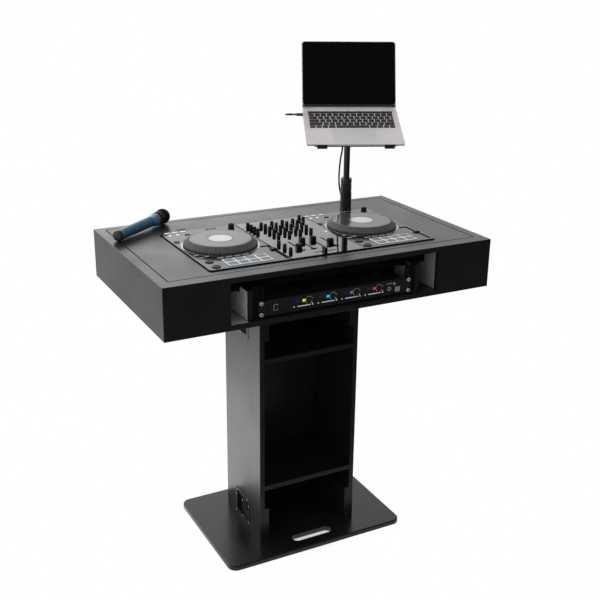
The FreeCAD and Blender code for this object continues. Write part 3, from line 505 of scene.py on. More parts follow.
def lathe(mesh, profile, matrix=Matrix(), sides=ROUND_SIDES, reach=None):
    """Turned form of (radius, height) points, closed where the radius is zero or at a loop's end."""
    rings = []
    for index, (radius, height) in enumerate(profile):
        if radius == 0:
            rings.append([mesh.verts.new(matrix @ Vector((0, 0, height)))])
            continue
        ring = []
        for i in range(sides):
            angle = 2 * math.pi * i / sides
            r = radius if reach is None else reach(index, i, radius)
            ring.append(mesh.verts.new(matrix @ Vector((r * math.cos(angle), r * math.sin(angle), height))))
        rings.append(ring)
    for low, high in zip(rings, rings[1:]):
        for i in range(sides):
            j = (i + 1) % sides
            corners = [low[i % len(low)], low[j % len(low)], high[j % len(high)], high[i % len(high)]]
            mesh.faces.new(list(dict.fromkeys(corners)))


def hoop(mesh, inner, outer, z, matrix=Matrix(), sides=ROUND_SIDES):
    lathe(mesh, hoop_profile(inner, outer, z), matrix, sides)


def hoop_profile(inner, outer, z):
    return [(inner, z[0]), (outer, z[0]), (outer, z[1]), (inner, z[1]), (inner, z[0])]


def tube(mesh, points, radius, sides):
    """Round tube along a line of points, with frames carried from point to point."""
    ahead = [(b - a).normalized() for a, b in zip(points, points[1:])]
    ahead.append(ahead[-1])
    across = ahead[0].orthogonal().normalized()
    rings = []
    for point, direction in zip(points, ahead):
        across = (across - direction * across.dot(direction)).normalized()
        beside = direction.cross(across)
        ring = []
        for i in range(sides):
            angle = 2 * math.pi * i / sides
            outward = across * math.cos(angle) + beside * math.sin(angle)
            ring.append(mesh.verts.new(point + radius * outward))
        rings.append(ring)
    for low, high in zip(rings, rings[1:]):
        for i in range(sides):
            j = (i + 1) % sides
            mesh.faces.new((low[i], low[j], high[j], high[i]))
    mesh.faces.new(list(reversed(rings[0])))
    mesh.faces.new(rings[-1])


def finished(name, mesh, material):
    bmesh.ops.remove_doubles(mesh, verts=mesh.verts, dist=weld_distance)
    bmesh.ops.recalc_face_normals(mesh, faces=mesh.faces)
    bmesh.ops.scale(mesh, vec=(MM, MM, MM), verts=mesh.verts)
    for face in mesh.faces:
        face.smooth = True
    for edge in mesh.edges:
        edge.smooth = len(edge.link_faces) == 2 and edge.calc_face_angle() < SHARP_ANGLE
    data = bpy.data.meshes.new(name)
    mesh.to_mesh(data)
    mesh.free()
    data.materials.append(materials[material])
    piece = bpy.data.objects.new(name, data)
    bpy.context.scene.collection.objects.link(piece)
    return piece


def rigid(name, mesh, material, body, slot, *nodes):
    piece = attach(finished(name, mesh, material), body)
    if nodes:
        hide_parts(*nodes)


drawn = []


def drawing(name, material, body, slot, *nodes):
    """Mesh to draw in, which becomes a piece that rides on a body once everything is drawn."""
    mesh = bmesh.new()
    drawn.append((name, mesh, material, body, slot, *nodes))
    return mesh


# Shader helpers
def fill(node, values):
    for name, value in values.items():
        node.inputs[name].default_value = value


def added(tree, kind, values={}):
    node = tree.nodes.new("ShaderNode" + kind)
    fill(node, values)
    return node


def mixed(tree, factor, first, second):
    node = added(tree, "MixShader")
    for value, socket in zip((factor, first, second), node.inputs):
        tree.links.new(value, socket)
    return node.outputs["Shader"]


def combined(tree, operation, first, second):
    node = added(tree, "Math")
    node.operation = operation
    tree.links.new(first, node.inputs[0])
    tree.links.new(second, node.inputs[1])
    return node.outputs["Value"]


def faded(tree, value, start, end, change="SMOOTHSTEP"):
    """Change from one value to another while a value passes through a span."""
    node = added(tree, "MapRange", {"From Min": start[0], "From Max": start[1]})
    fill(node, {"To Min": end[0], "To Max": end[1]})
    node.interpolation_type = change
    tree.links.new(value, node.inputs["Value"])
    return node.outputs["Result"]


def ramp(tree, value, start, colors):
    """Change from one colour to another while a value passes through a span."""
    node = added(tree, "ValToRGB")
    for i in range(2):
        node.color_ramp.elements[i].position = start[i]
        node.color_ramp.elements[i].color = colors[i]
    tree.links.new(value, node.inputs["Fac"])
    return node.outputs["Color"]


def seen_directly(tree, path):
    return combined(tree, "MAXIMUM", path.outputs["Is Camera Ray"], path.outputs["Is Transmission Ray"])


def axes_of(tree, vector):
    """Sideways, backward and upward parts of a place or direction."""
    parts = added(tree, "SeparateXYZ")
    tree.links.new(vector, parts.inputs["Vector"])
    return [parts.outputs[axis] for axis in "XYZ"]


# Materials
def shades(color, change):
    return tuple(min(1.0, value * change) for value in color) + (1.0,)


def surface(name, color, roughness, grain, cloud, metallic=0.0, specular=0.5, coat=0.0, shade=0.14,
            spread=0.06, bump=0.12, depth=0.15, stretch=(1.0, 1.0, 1.0)):
    """Finish with a fine grain in its bump, and slow clouds in its tone and roughness."""
    material = bpy.data.materials.new(name)
    material.use_nodes = True
    tree = material.node_tree
    shader = tree.nodes["Principled BSDF"]
    fill(shader, {"Metallic": metallic, "Specular IOR Level": specular, "Coat Weight": coat})
    where = added(tree, "TexCoord")
    stretched = added(tree, "Mapping", {"Scale": stretch})
    tree.links.new(where.outputs["Object"], stretched.inputs["Vector"])
    noises = []
    for size in (grain, cloud):
        noise = added(tree, "TexNoise", {"Scale": 1 / (size * MM), "Detail": noise_detail})
        tree.links.new(stretched.outputs["Vector"], noise.inputs["Vector"])
        noises.append(noise.outputs["Fac"])
    fine, slow = noises
    tones = ramp(tree, slow, cloud_span, (shades(color, 1 - shade), shades(color, 1 + shade)))
    tree.links.new(tones, shader.inputs["Base Color"])
    rough = (max(least_rough, roughness - spread), min(1.0, roughness + spread))
    tree.links.new(faded(tree, slow, cloud_span, rough, "LINEAR"), shader.inputs["Roughness"])
    relief = added(tree, "Bump", {"Strength": bump, "Distance": depth * MM})
    tree.links.new(fine, relief.inputs["Height"])
    tree.links.new(relief.outputs["Normal"], shader.inputs["Normal"])
    return material


def glowing(name, color, level, roughness):
    material = surface(name, color, roughness, glow_grain, glow_cloud, shade=glow_shade)
    shader = material.node_tree.nodes["Principled BSDF"]
    fill(shader, {"Emission Color": (*color, 1.0), "Emission Strength": level})
    return material


def add_flecks(name):
    """Pale flecks where the strands of a dark sleeve cross."""
    tree = materials[name].node_tree
    cells = added(tree, "TexVoronoi", {"Scale": 1 / (fleck_pitch * MM)})
    tree.links.new(tree.nodes["Texture Coordinate"].outputs["Object"], cells.inputs["Vector"])
    tones = (shades(fleck_color, 1), shades(finishes[name][0], 1))
    flecks = ramp(tree, cells.outputs["Distance"], fleck_span, tones)
    tree.links.new(flecks, tree.nodes["Principled BSDF"].inputs["Base Color"])


materials = {name: surface(name, *values, **more) for name, (*values, more) in finishes.items()}
materials.update({name: glowing(name, *values) for name, values in glows.items()})
add_flecks("lead_braid")


def facing(value):
    return abs(value) > facing_share


def dress_nodes():
    for subpart in frame["record"]["subparts"]:
        node = subpart["node"]
        data = frame["nodes"][node].data
        data.materials.clear()
        material = node_materials.get(node, slot_materials[subpart["material_slot"]])
        data.materials.append(materials[material])
    # Painted light: the dividers' side faces are drawn pale, partly as bare board and partly for the light
    # they catch, and the left ones paler still as painted light in the left pocket
    paint_faces("box_dividers", "bare_board_and_painted_light", lambda face: facing(face.normal.x) and face.center.x > 0)
    paint_faces("box_dividers", "left_board_painted_light", lambda face: facing(face.normal.x) and face.center.x < 0)
    # Painted shade: the sides of the controller's face, seen in the gap round it, are drawn near-black
    paint_faces("controller_face", "black_trim_and_painted_shade", lambda face: not facing(face.normal.z))


def paint_faces(node, material, chosen):
    data = frame["nodes"][node].data
    data.materials.append(materials[material])
    for face in data.polygons:
        if chosen(face):
            face.material_index = len(data.materials) - 1


# Camera, light and floor
def camera():
    data = bpy.data.cameras.new("camera")
    data.lens = lens
    data.sensor_width = sensor_width
    azimuth = math.radians(camera_azimuth)
    elevation = math.radians(camera_elevation)
    back = Vector((math.sin(azimuth) * math.cos(elevation), -math.cos(azimuth) * math.cos(elevation),
                   math.sin(elevation)))
    right = Vector((0, 0, 1)).cross(back).normalized()
    up = back.cross(right)
    level = Matrix((right, up, back)).transposed().to_4x4()
    seen = bpy.data.objects.new("camera", data)
    seen.matrix_world = Matrix.Translation(Vector(camera_eye) * MM) @ level @ turn(camera_roll, "Z")
    bpy.context.scene.collection.objects.link(seen)
    bpy.context.scene.camera = seen


def background(tree, level):
    return added(tree, "Background", {"Color": (1.0, 1.0, 1.0, 1.0), "Strength": level})


def sky():
    """White where it is seen, plain where it lights. In reflections it is bright behind and far left."""
    world = bpy.data.worlds.new("studio")
    bpy.context.scene.world = world
    world.use_nodes = True
    tree = world.node_tree
    tree.nodes.clear()
    path = added(tree, "LightPath")
    x, y, z = axes_of(tree, added(tree, "TexCoord").outputs["Generated"])
    behind = faded(tree, y, mirror_back_span, (mirror_dim, mirror_bright))
    lower = faded(tree, z, mirror_heights, (mirror_low_share, mirror_high_share))
    leftward = faded(tree, x, mirror_sides, (mirror_left_share, mirror_right_share))
    strip = faded(tree, x, strip_sides, (strip_level, 0.0))
    shaped = combined(tree, "MULTIPLY", behind, combined(tree, "MULTIPLY", lower, leftward))
    mirrored = background(tree, 1.0)
    tree.links.new(combined(tree, "MAXIMUM", shaped, strip), mirrored.inputs["Strength"])
    lighting = background(tree, sky_level)
    seen = background(tree, 1.0)
    out = added(tree, "OutputWorld")
    unseen = mixed(tree, path.outputs["Is Glossy Ray"], lighting.outputs[0], mirrored.outputs[0])
    tree.links.new(mixed(tree, seen_directly(tree, path), unseen, seen.outputs[0]), out.inputs["Surface"])


def lamp(name, power, eye, target):
    data = bpy.data.lights.new(name, "AREA")
    data.energy = power
    data.size = lamp_size * MM
    light = bpy.data.objects.new(name, data)
    light.visible_glossy = False
    light.location = Vector(eye) * MM
    light.rotation_euler = (Vector(target) - Vector(eye)).to_track_quat("-Z", "Y").to_euler()
    bpy.context.scene.collection.objects.link(light)


def floor():
    """Pale floor, white where seen, with a shadow under the base. In reflections it is dim in front."""
    mesh = bmesh.new()
    bmesh.ops.create_grid(mesh, x_segments=1, y_segments=1, size=floor_size * MM / 2)
    data = bpy.data.meshes.new("floor")
    mesh.to_mesh(data)
    mesh.free()
    piece = bpy.data.objects.new("floor", data)
    bpy.context.scene.collection.objects.link(piece)
    material = bpy.data.materials.new("floor_pale")
    material.use_nodes = True
    tree = material.node_tree
    tree.nodes.clear()
    path = added(tree, "LightPath")
    matt = added(tree, "BsdfDiffuse", {"Color": (floor_tone, floor_tone, floor_tone, 1.0)})
    white = added(tree, "Emission", {"Strength": 1.0})
    where = added(tree, "TexCoord").outputs["Object"]
    distance = added(tree, "VectorMath")
    distance.operation = "LENGTH"
    tree.links.new(where, distance.inputs[0])
    away = distance.outputs["Value"]
    x, y, _ = axes_of(tree, where)
    whiter = faded(tree, away, metres(shadow_reach), (floor_white_near_share, 1.0))
    behind = faded(tree, y, metres(floor_back_span), (mirror_dim, 1.0))
    nearer = faded(tree, away, metres(floor_mirror_reach), (floor_mirror_near, floor_mirror_far))
    strip = faded(tree, x, metres(floor_strip_sides), (floor_strip_level, 0.0))
    mirrored = added(tree, "Emission")
    shaped = combined(tree, "MULTIPLY", behind, nearer)
    tree.links.new(combined(tree, "MAXIMUM", shaped, strip), mirrored.inputs["Strength"])
    out = added(tree, "OutputMaterial")
    unseen = mixed(tree, path.outputs["Is Glossy Ray"], matt.outputs[0], mirrored.outputs[0])
    share = combined(tree, "MULTIPLY", seen_directly(tree, path), whiter)
    tree.links.new(mixed(tree, share, unseen, white.outputs[0]), out.inputs["Surface"])
    data.materials.append(material)


# Lead
def smooth_line(route):
    """Points, in millimetres, read from a smooth curve with the route as its control points."""
    curve = bpy.data.curves.new("route", "CURVE")
    curve.dimensions = "3D"
    spline = curve.splines.new("NURBS")
    spline.points.add(len(route) - 1)
    for point, spot in zip(spline.points, route):
        point.co = (*(Vector(spot) * MM), 1.0)
    spline.order_u = route_order
    spline.use_endpoint_u = True
    guide = bpy.data.objects.new("route", curve)
    line = bpy.data.meshes.new_from_object(guide)
    points = [vertex.co / MM for vertex in line.vertices]
    bpy.data.objects.remove(guide)
    bpy.data.curves.remove(curve)
    bpy.data.meshes.remove(line)
    return points


def lead(name, route):
    points = smooth_line(route)
    mesh = bmesh.new()
    tube(mesh, points, lead_diameter / 2, lead_sides)
    piece = finished(name, mesh, "lead_braid")
    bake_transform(piece)
    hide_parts(name.replace("lead", "cord"))
    path = [point * MM for point in points]
    length = sum((b - a).length for a, b in zip(path, path[1:]))
    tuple(path[0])


def leads():
    lead("lead_lower", lower_route[::-1])
    lead("lead_upper", upper_route[::-1])


# Controller
sides = ("left", "right")
deck_centers = [middle("jog_" + side) for side in sides]
tempo_names = ["tempo_fader_" + side for side in sides]
channel_names = ["channel_fader_" + str(i + 1) for i in range(4)]
mixer_faders = channel_names + ["crossfader"]
face_low, face_high = node_box("controller_face")
face_middle = middle("controller_face")
face_top = face_high.z
mixer_x = span(face_middle.x, 2 * mixer_half)
mixer_y = (face_low.y + mixer_inset, face_high.y - mixer_inset)
mixer_top = face_top + plate_gauge
lid_top = node_box("top_lid")[1].z


def jog_wheels():
    low, high = node_box("jog_left")
    bottom, top = low.z, high.z
    outer = (high.x - low.x) / 2
    foot = (outer - jog_foot[0], bottom)
    rim = [
        foot, (outer, bottom + jog_foot[1]), (outer, bottom + jog_rim_height),
        (jog_plate_radius + jog_slope[0], top - jog_slope[1]),
        (jog_plate_radius + jog_lip[0], top - jog_lip[1]), (jog_plate_radius, top - jog_lip[1]),
        (jog_plate_radius, bottom), foot,
    ]
    edge = jog_plate_radius - jog_plate_gap
    underside = top - jog_plate_depth
    disc = [(jog_hub_radius, underside), (edge, underside), (edge, top - jog_plate_edge[1]),
            (edge - jog_plate_edge[0], top)]
    disc += [(edge - inset, top - dip) for inset, dip in jog_edge_groove]
    disc += [(jog_hub_radius + inset, top - dip) for inset, dip in jog_hub_groove]
    disc += [(jog_hub_radius, top), (jog_hub_radius, underside)]

    def notched(index, step, radius):
        cut = step % jog_steps < jog_notch_steps and index in jog_notch_rows
        return radius - jog_notch_depth if cut else radius

    for side, center in zip(sides, deck_centers):
        matrix = at(center.x, center.y, 0)
        mesh = drawing("jog_rim_" + side, "jog_rubber", "jog_" + side, "jog_plastic", "jog_" + side)
        lathe(mesh, rim, matrix, jog_notches * jog_steps, notched)
        mesh = drawing("jog_plate_" + side, "jog_grey", "jog_" + side, "jog_plastic")
        lathe(mesh, disc, matrix, 2 * ROUND_SIDES)


def joint_of(body):
    return next(joint for joint in frame["record"]["behaviour"]["joints"] if joint["child"] == body)


def slot_of(name):
    """Sides of the slot that a fader slides in, from the range of its joint."""
    center = middle(name)
    joint = joint_of(name)
    low, high = [value / MM for value in joint["range_m"]]
    reach = (low - slot_margin, high + slot_margin)
    if joint["axis"][0]:
        return (center.x + reach[0], center.x + reach[1]), span(center.y, slot_width)
    return span(center.x, slot_width), (center.y + reach[0], center.y + reach[1])


def wider(ends, margin):
    return (ends[0] - margin, ends[1] + margin)


def mixer_plate():
    """Glossy plate between the decks."""
    slots = [slot_of(name) for name in mixer_faders]
    mesh = drawing("mixer_plate", "mixer_grey", "booth", "controller_plastic")
    holed_plate(mesh, mixer_x, mixer_y, (face_top, mixer_top), slots)


def controller_trims():
    """Matt black seams, slot edges and switches on the face, with the slot edges also darkening the slots
    as painted shade, and a strip of painted shade in the gap round the controller.
    """
    mesh = drawing("controller_trims", "black_trim_and_painted_shade", "booth", "controller_plastic")
    for name in mixer_faders:
        slot_edge(mesh, name, slot_trim, mixer_top)
    for name in tempo_names:
        slot_edge(mesh, name, tempo_trim, face_top)
        x, y = slot_of(name)
        patch_start = y[1] + tempo_trim
        patch = (patch_start, patch_start + patch_size[1])
        plate(mesh, span(sum(x) / 2 + patch_shift, patch_size[0]), patch,
              (face_top, face_top + 2 * trim_gauge), small_corner)
    for x in mixer_x:
        block(mesh, span(x, seam_width), mixer_y, (face_top, mixer_top + trim_gauge))
    for name in channel_names:
        plate(mesh, span(middle(name).x, switch_size[0]), span(face_middle.y + switch_y, switch_size[1]),
              (mixer_top, mixer_top + small_rise), small_corner)
    # Painted shade: a near-black strip below the lid's top, in the gap round the controller
    gap_top = lid_top - gap_depth
    around(mesh, (face_low.x, face_high.x), (face_low.y, face_high.y), gap_width,
           (gap_top - gap_gauge, gap_top))


def slot_edge(mesh, name, width, level):
    around(mesh, *slot_of(name), width, (level, level + trim_gauge))


def around(mesh, x, y, width, z):
    """Flat border round a square opening."""
    ring = bmesh.new()
    holed_plate(ring, wider(x, width), wider(y, width), z, [(x, y)])
    data = bpy.data.meshes.new("edge")
    ring.to_mesh(data)
    ring.free()
    mesh.from_mesh(data)
    bpy.data.meshes.remove(data)


def lid_joint_shade():
    """Painted shade: a dark line over the joint round the lid, where shade falls in the seam."""
    mesh = drawing("lid_joint_shade", "black_trim_and_painted_shade", "booth", "board_paint")
    low, high = node_box("top_lid")
    x = (low.x, high.x)
    y = (low.y, high.y)
    around(mesh, x, y, lid_gap_width, (lid_top, lid_top + trim_gauge))


def pocket_floor_painted_reflection():
    """Painted reflection: a pale plate on the floor of the pocket left of the rack bay, for the pale
    divider mirrored in the glossy floor.
    """
    mesh = drawing("pocket_floor_painted_reflection", "bare_board_and_painted_light", "booth", "board_paint")
    level = node_box("box_floor")[1].z
    plate(mesh, pocket_sides, pocket_reach, (level, level + trim_gauge), small_corner)


def wheel_rings():
    mesh = drawing("wheel_rings", "silver_trim", "booth", "controller_plastic")
    for center in deck_centers:
        hoop(mesh, ring_inner, ring_outer, (face_top, face_top + ring_gauge),
             at(center.x, center.y, 0), 2 * ROUND_SIDES)


def pad_light():
    """Lit mat that shows between the pads."""
    mesh = drawing("pad_light", "pad_glow", "booth", "button_plastic")
    top = node_box("performance_pads")[1].z - glow_drop
    for x, y in pad_areas():
        plate(mesh, x, y, (face_top, top), small_corner)


def small_buttons():
    """Small lit, dark and pale buttons and marks on the controller's face."""
    lit = drawing("lit_buttons", "lit_white", "booth", "button_plastic")
    dark = drawing("dark_buttons", "button_black", "booth", "button_plastic")
    pale = drawing("pale_buttons", "print_grey", "booth", "button_plastic")
    for center in deck_centers:
        keys(lit, center, lit_keys, small_rise)
        rounds(lit, center, lit_rounds, lit_round_radius)
        keys(dark, center, dark_keys, small_rise)
        rounds(dark, center, dark_rounds, dark_round_radius)
        keys(dark, center, small_keys, small_rise / 2, 2 * small_key_border)
        keys(pale, center, small_keys + pale_keys, small_rise)
    rounds(lit, face_middle, [mixer_light_spot], mixer_light_radius)
    keys(pale, face_middle, mixer_lines, plate_gauge + print_gauge)
    for name in tempo_names:
        tempo_ticks(pale, name)


def keys(mesh, center, groups, rise, more=0):
    """Flat keys at the spots of each group, which gives their size first."""
    z = (face_top, face_top + rise)
    for (width, depth), spots in groups:
        corner = min(small_corner, (min(width, depth) + more) * key_corner_share)
        for x, y in spots:
            plate(mesh, span(center.x + x, width + more), span(center.y + y, depth + more), z, corner)


def rounds(mesh, center, spots, radius):
    edge = small_rise - button_edge
    profile = [(0, 0), (radius, 0), (radius, edge), (radius - button_edge, small_rise), (0, small_rise)]
    for x, y in spots:
        lathe(mesh, profile, at(center.x + x, center.y + y, face_top))


def tempo_ticks(mesh, name):
    x, y = slot_of(name)
    z = (face_top, face_top + print_gauge)
    for i in range(tick_count):
        level = y[0] + (y[1] - y[0]) * (i + 1 / 2) / tick_count
        for middle_x in wider(x, tick_offset):
            block(mesh, span(middle_x, tick_length), span(level, tick_width), z)


def pad_areas():
    """Sides of the two pad fields, from the boxes of the pads left and right of the middle."""
    corners = [vertex.co / MM for vertex in frame["nodes"]["performance_pads"].data.vertices]
    parting = sum(center.x for center in deck_centers) / 2
    areas = []
    for group in ([c for c in corners if c.x < parting], [c for c in corners if c.x > parting]):
        x = (min(c.x for c in group), max(c.x for c in group))
        y = (min(c.y for c in group), max(c.y for c in group))
        areas.append((wider(x, glow_margin), wider(y, glow_margin)))
    return areas


def holed_plate(mesh, x, y, z, holes):
    """Flat plate with square holes, made of the cells between the holes' edges."""
    xs = sorted({*x, *[edge for hole in holes for edge in hole[0]]})
    ys = sorted({*y, *[edge for hole in holes for edge in hole[1]]})
    for x0, x1 in zip(xs, xs[1:]):
        for y0, y1 in zip(ys, ys[1:]):
            cx = (x0 + x1) / 2
            cy = (y0 + y1) / 2
            inside = [hole[0][0] < cx < hole[0][1] and hole[1][0] < cy < hole[1][1] for hole in holes]
            if not any(inside):
                for level in z:
                    place(mesh, [(x0, y0, level), (x1, y0, level), (x1, y1, level), (x0, y1, level)],
                          [(0, 1, 2, 3)], Matrix())
    bmesh.ops.remove_doubles(mesh, verts=mesh.verts, dist=same_place)
    rims = [edge for edge in mesh.edges if len(edge.link_faces) == 1 and edge.verts[0].co.z < sum(z) / 2]
    for edge in rims:
        raised = [above(mesh, corner.co) for corner in edge.verts]
        mesh.faces.new((edge.verts[0], edge.verts[1], raised[1], raised[0]))


def above(mesh, spot):
    return next(v for v in mesh.verts if (v.co - spot).xy.length < same_place and v.co.z > spot.z)


def fluted(depth):
    def reach(index, step, radius):
        return radius - depth if step % flute_steps == 0 else radius
    return reach


def knob(mesh, marks, matrix, radius, height, top_share):
    top = radius * top_share
    lathe(mesh, [
        (0, 0), (radius, 0), (radius, knob_skirt[0]), (radius * knob_grip_share, knob_skirt[1]),
        (top, height - knob_edge), (top - knob_edge, height), (0, height),
    ], matrix, knob_flutes * flute_steps, fluted(knob_flute_depth))
    x = span(0, pointer_width)
    block(marks, x, (radius * pointer_start_share, top - pointer_inset),
          (height, height + pointer_gauge), matrix)
    block(marks, x, (top - side_mark[0], top + side_mark[1]),
          (height * side_mark_start_share, height - side_mark_inset), matrix)


def mixer_knobs():
    random.seed(knob_seed)
    bottom = node_box("mixer_knobs")[0].z
    mesh = drawing("fluted_knobs", "knob_black", "booth", "knob_plastic", "mixer_knobs")
    marks = drawing("knob_marks", "print_white", "booth", "knob_plastic")
    for x, y, top in knob_places():
        matrix = at(x, y, bottom) @ turn(random.uniform(-knob_turn, knob_turn), "Z")
        knob(mesh, marks, matrix, mixer_knob_radius, top - bottom - pointer_gauge, knob_top_share)


def knob_places():
    """Middle and top of each of the frame's mixer knobs, found as separate rings of corners on the face."""
    corners = [vertex.co / MM for vertex in frame["nodes"]["mixer_knobs"].data.vertices]
    groups = []
    for corner in corners:
        reach = knob_near_share * mixer_knob_radius
        near = [group for group in groups if (group[0].xy - corner.xy).length < reach]
        if near:
            near[0].append(corner)
        else:
            groups.append([corner])
    places = []
    for group in groups:
        center = sum(group, Vector()) / len(group)
        places.append((center.x, center.y, max(corner.z for corner in group)))
    return places


def browse_knobs():
    for side in sides:
        name = "browse_knob_" + side
        low, high = node_box(name)
        center = middle(name)
        mesh = drawing("browse_" + side, "knob_black", name, "knob_plastic", name)
        marks = drawing("browse_mark_" + side, "print_grey", name, "knob_plastic")
        bottom = face_top + knob_gap
        matrix = at(center.x, center.y, bottom)
        end = low.z - bottom
        lathe(mesh, [(0, end), (shaft_radius, end), (shaft_radius, 0)], matrix, ROUND_SIDES // 2)
        knob(mesh, marks, matrix, (high.x - low.x) / 2, high.z - bottom - pointer_gauge, browse_top_share)


def fader_caps():
    for name in tempo_names + mixer_faders:
        low, high = node_box(name)
        center = middle(name)
        across = (high.x - low.x) / 2
        along = (high.y - low.y) / 2
        matrix = at(center.x, center.y, 0)
        if name == "crossfader":
            matrix = matrix @ turn(90, "Z")
            across, along = along, across
        seat = face_top + cap_gap
        height = high.z - seat
        dip = seat + height - min(cap_dip, height * cap_dip_share)
        right = [(a * along, seat + b * height) for a, b in cap_profile_shares]
        right.append((cap_hollow_share * along, dip))
        profile = right + [(-y, z) for y, z in reversed(right)]
        mesh = drawing("cap_" + name, "cap_black", name, "knob_plastic", name)
        prism(mesh, profile, (-across, across), matrix @ turn(90, "Z") @ turn(90, "X"))
        block(mesh, span(0, stem_size[0]), span(0, stem_size[1]), (low.z, (seat + dip) / 2), matrix)
        line = drawing("line_" + name, "print_white", name, "knob_plastic")
        x = span(0, 2 * across - cap_line_inset)
        block(line, x, span(0, line_width), (dip, dip + pointer_gauge), matrix)


def deck_buttons():
    for side in sides:
        for kind in ("cue", "play"):
            name = kind + "_button_" + side
            center = middle(name)
            matrix = at(center.x, center.y, node_box(name)[1].z)
            mesh = drawing("ring_" + name, "print_grey", name, "button_plastic")
            hoop(mesh, *button_ring, (0, pointer_gauge), matrix)


# Receiver
def receiver_front():
    face = node_box("receiver_front")[0].y
    upright = at(0, face, 0) @ turn(90, "X")
    glass = drawing("receiver_displays", "display_blue", "booth", "receiver_paint")
    # Painted light: the receiver's prints glow to look bright in the dim bay
    white = drawing("receiver_prints", "print_painted_glow", "booth", "receiver_paint")
    for i, shown in enumerate(channel_lights):
        name = "receiver_knob_" + str(i + 1)
        center = middle(name)
        channel = upright @ at(center.x, center.z, 0)
        spot(glass, display_spot, display_size, front_gauge, channel)
        block(white, bar_ends, span(bar_drop, bar_width), (0, front_gauge), channel)
        for x in blob_places:
            spot(white, (x, bar_drop), (blob_size, blob_size), front_gauge, channel)
        for step in range(arc_ticks):
            matrix = channel @ turn(arc_start + arc_step * step, "Z")
            block(white, arc_radii, span(0, arc_tick_width), (0, front_gauge), matrix)
        light = drawing("channel_light_" + str(i + 1), shown, "booth", "receiver_paint")
        spot(light, light_spot, light_size, front_gauge, channel, light_corner)
        volume_knob(name, face, channel @ turn(volume_turn, "Z"))
    fittings = drawing("receiver_fittings", "print_grey", "booth", "receiver_paint")
    spot(fittings, label_spot, label_size, front_gauge, upright)
    spot(fittings, socket_spot, socket_size, front_rise, upright)
    flat_round(fittings, round_spot, round_radius, upright)
    hoop(fittings, *jack_radii, (0, front_gauge), upright @ at(*jack_spot, 0))
    switch_low, switch_high = node_box("receiver_switch")
    x = (switch_low.x, switch_high.x)
    z = (switch_low.z, switch_high.z)
    wide = wider(x, switch_border)
    tall = wider(z, switch_border)
    bars = [(wide, (tall[0], z[0])), (wide, (z[1], tall[1])), ((wide[0], x[0]), z), ((x[1], wide[1]), z)]
    for across, upward in bars:
        block(fittings, across, upward, (0, front_gauge), upright)
    # Painted shade: a near-black disc where shade fills the hole in the receiver's front
    dark = drawing("receiver_hole", "black_trim_and_painted_shade", "booth", "receiver_paint")
    flat_round(dark, hole_spot, hole_radius, upright)


def spot(mesh, center, size, rise, matrix, corner=small_corner):
    plate(mesh, span(center[0], size[0]), span(center[1], size[1]), (0, rise), corner, matrix)


def flat_round(mesh, center, radius, matrix):
    profile = [(0, 0), (radius, 0), (radius, front_gauge), (0, front_gauge)]
    lathe(mesh, profile, matrix @ at(*center, 0), ROUND_SIDES // 2)


def volume_knob(name, face, matrix):
    low, high = node_box(name)
    mesh = drawing("fluted_" + name, "knob_black", name, "knob_plastic", name)
    # Painted light: the knob's marks glow like the receiver's prints
    marks = drawing("mark_" + name, "print_painted_glow", name, "knob_plastic")
    knob(mesh, marks, matrix, volume_radius, face - low.y - pointer_gauge, volume_top_share)
    lathe(mesh, [(volume_shaft_radius, face - high.y), (volume_shaft_radius, 0)], matrix, ROUND_SIDES // 2)


def rack_screw_heads():
    # Painted shade: near-black crosses on the screw heads, where shade falls in their recesses
    mesh = drawing("screw_crosses", "black_trim_and_painted_shade", "booth", "screw_metal")
    low, high = node_box("rack_screws")
    inset = (high.z - low.z - rack_hole_rise) / 2
    y = (low.y - screw_slot_depth, low.y + 2 * screw_slot_depth)
    for x in (low.x + inset, high.x - inset):
        for z in (low.z + inset, high.z - inset):
            for width, height in (screw_slot, reversed(screw_slot)):
                block(mesh, span(x, width), y, span(z, height))


# Latches
def latch_rivets():
    mesh = drawing("latch_rivets", "rivet_steel", "booth", "latch_paint")
    low, high = node_box("latch_plates")
    for side, x in ((-1, low.x), (1, high.x)):
        for level in latch_levels:
            for y, z in rivet_spots:
                lathe(mesh, rivet_profile, at(x, y, level + z) @ turn(90 * side, "Y"), rivet_sides)


# Laptop
def tray_matrix():
    hinge = joint_of("laptop_lid")
    spin = turn(tray_yaw, "Z") @ turn(tray_tilt, "X")
    base = Vector(hinge["pos_m"]) / MM - spin @ Vector((0, hinge_back, hinge_rise))
    return Matrix.Translation(base) @ spin


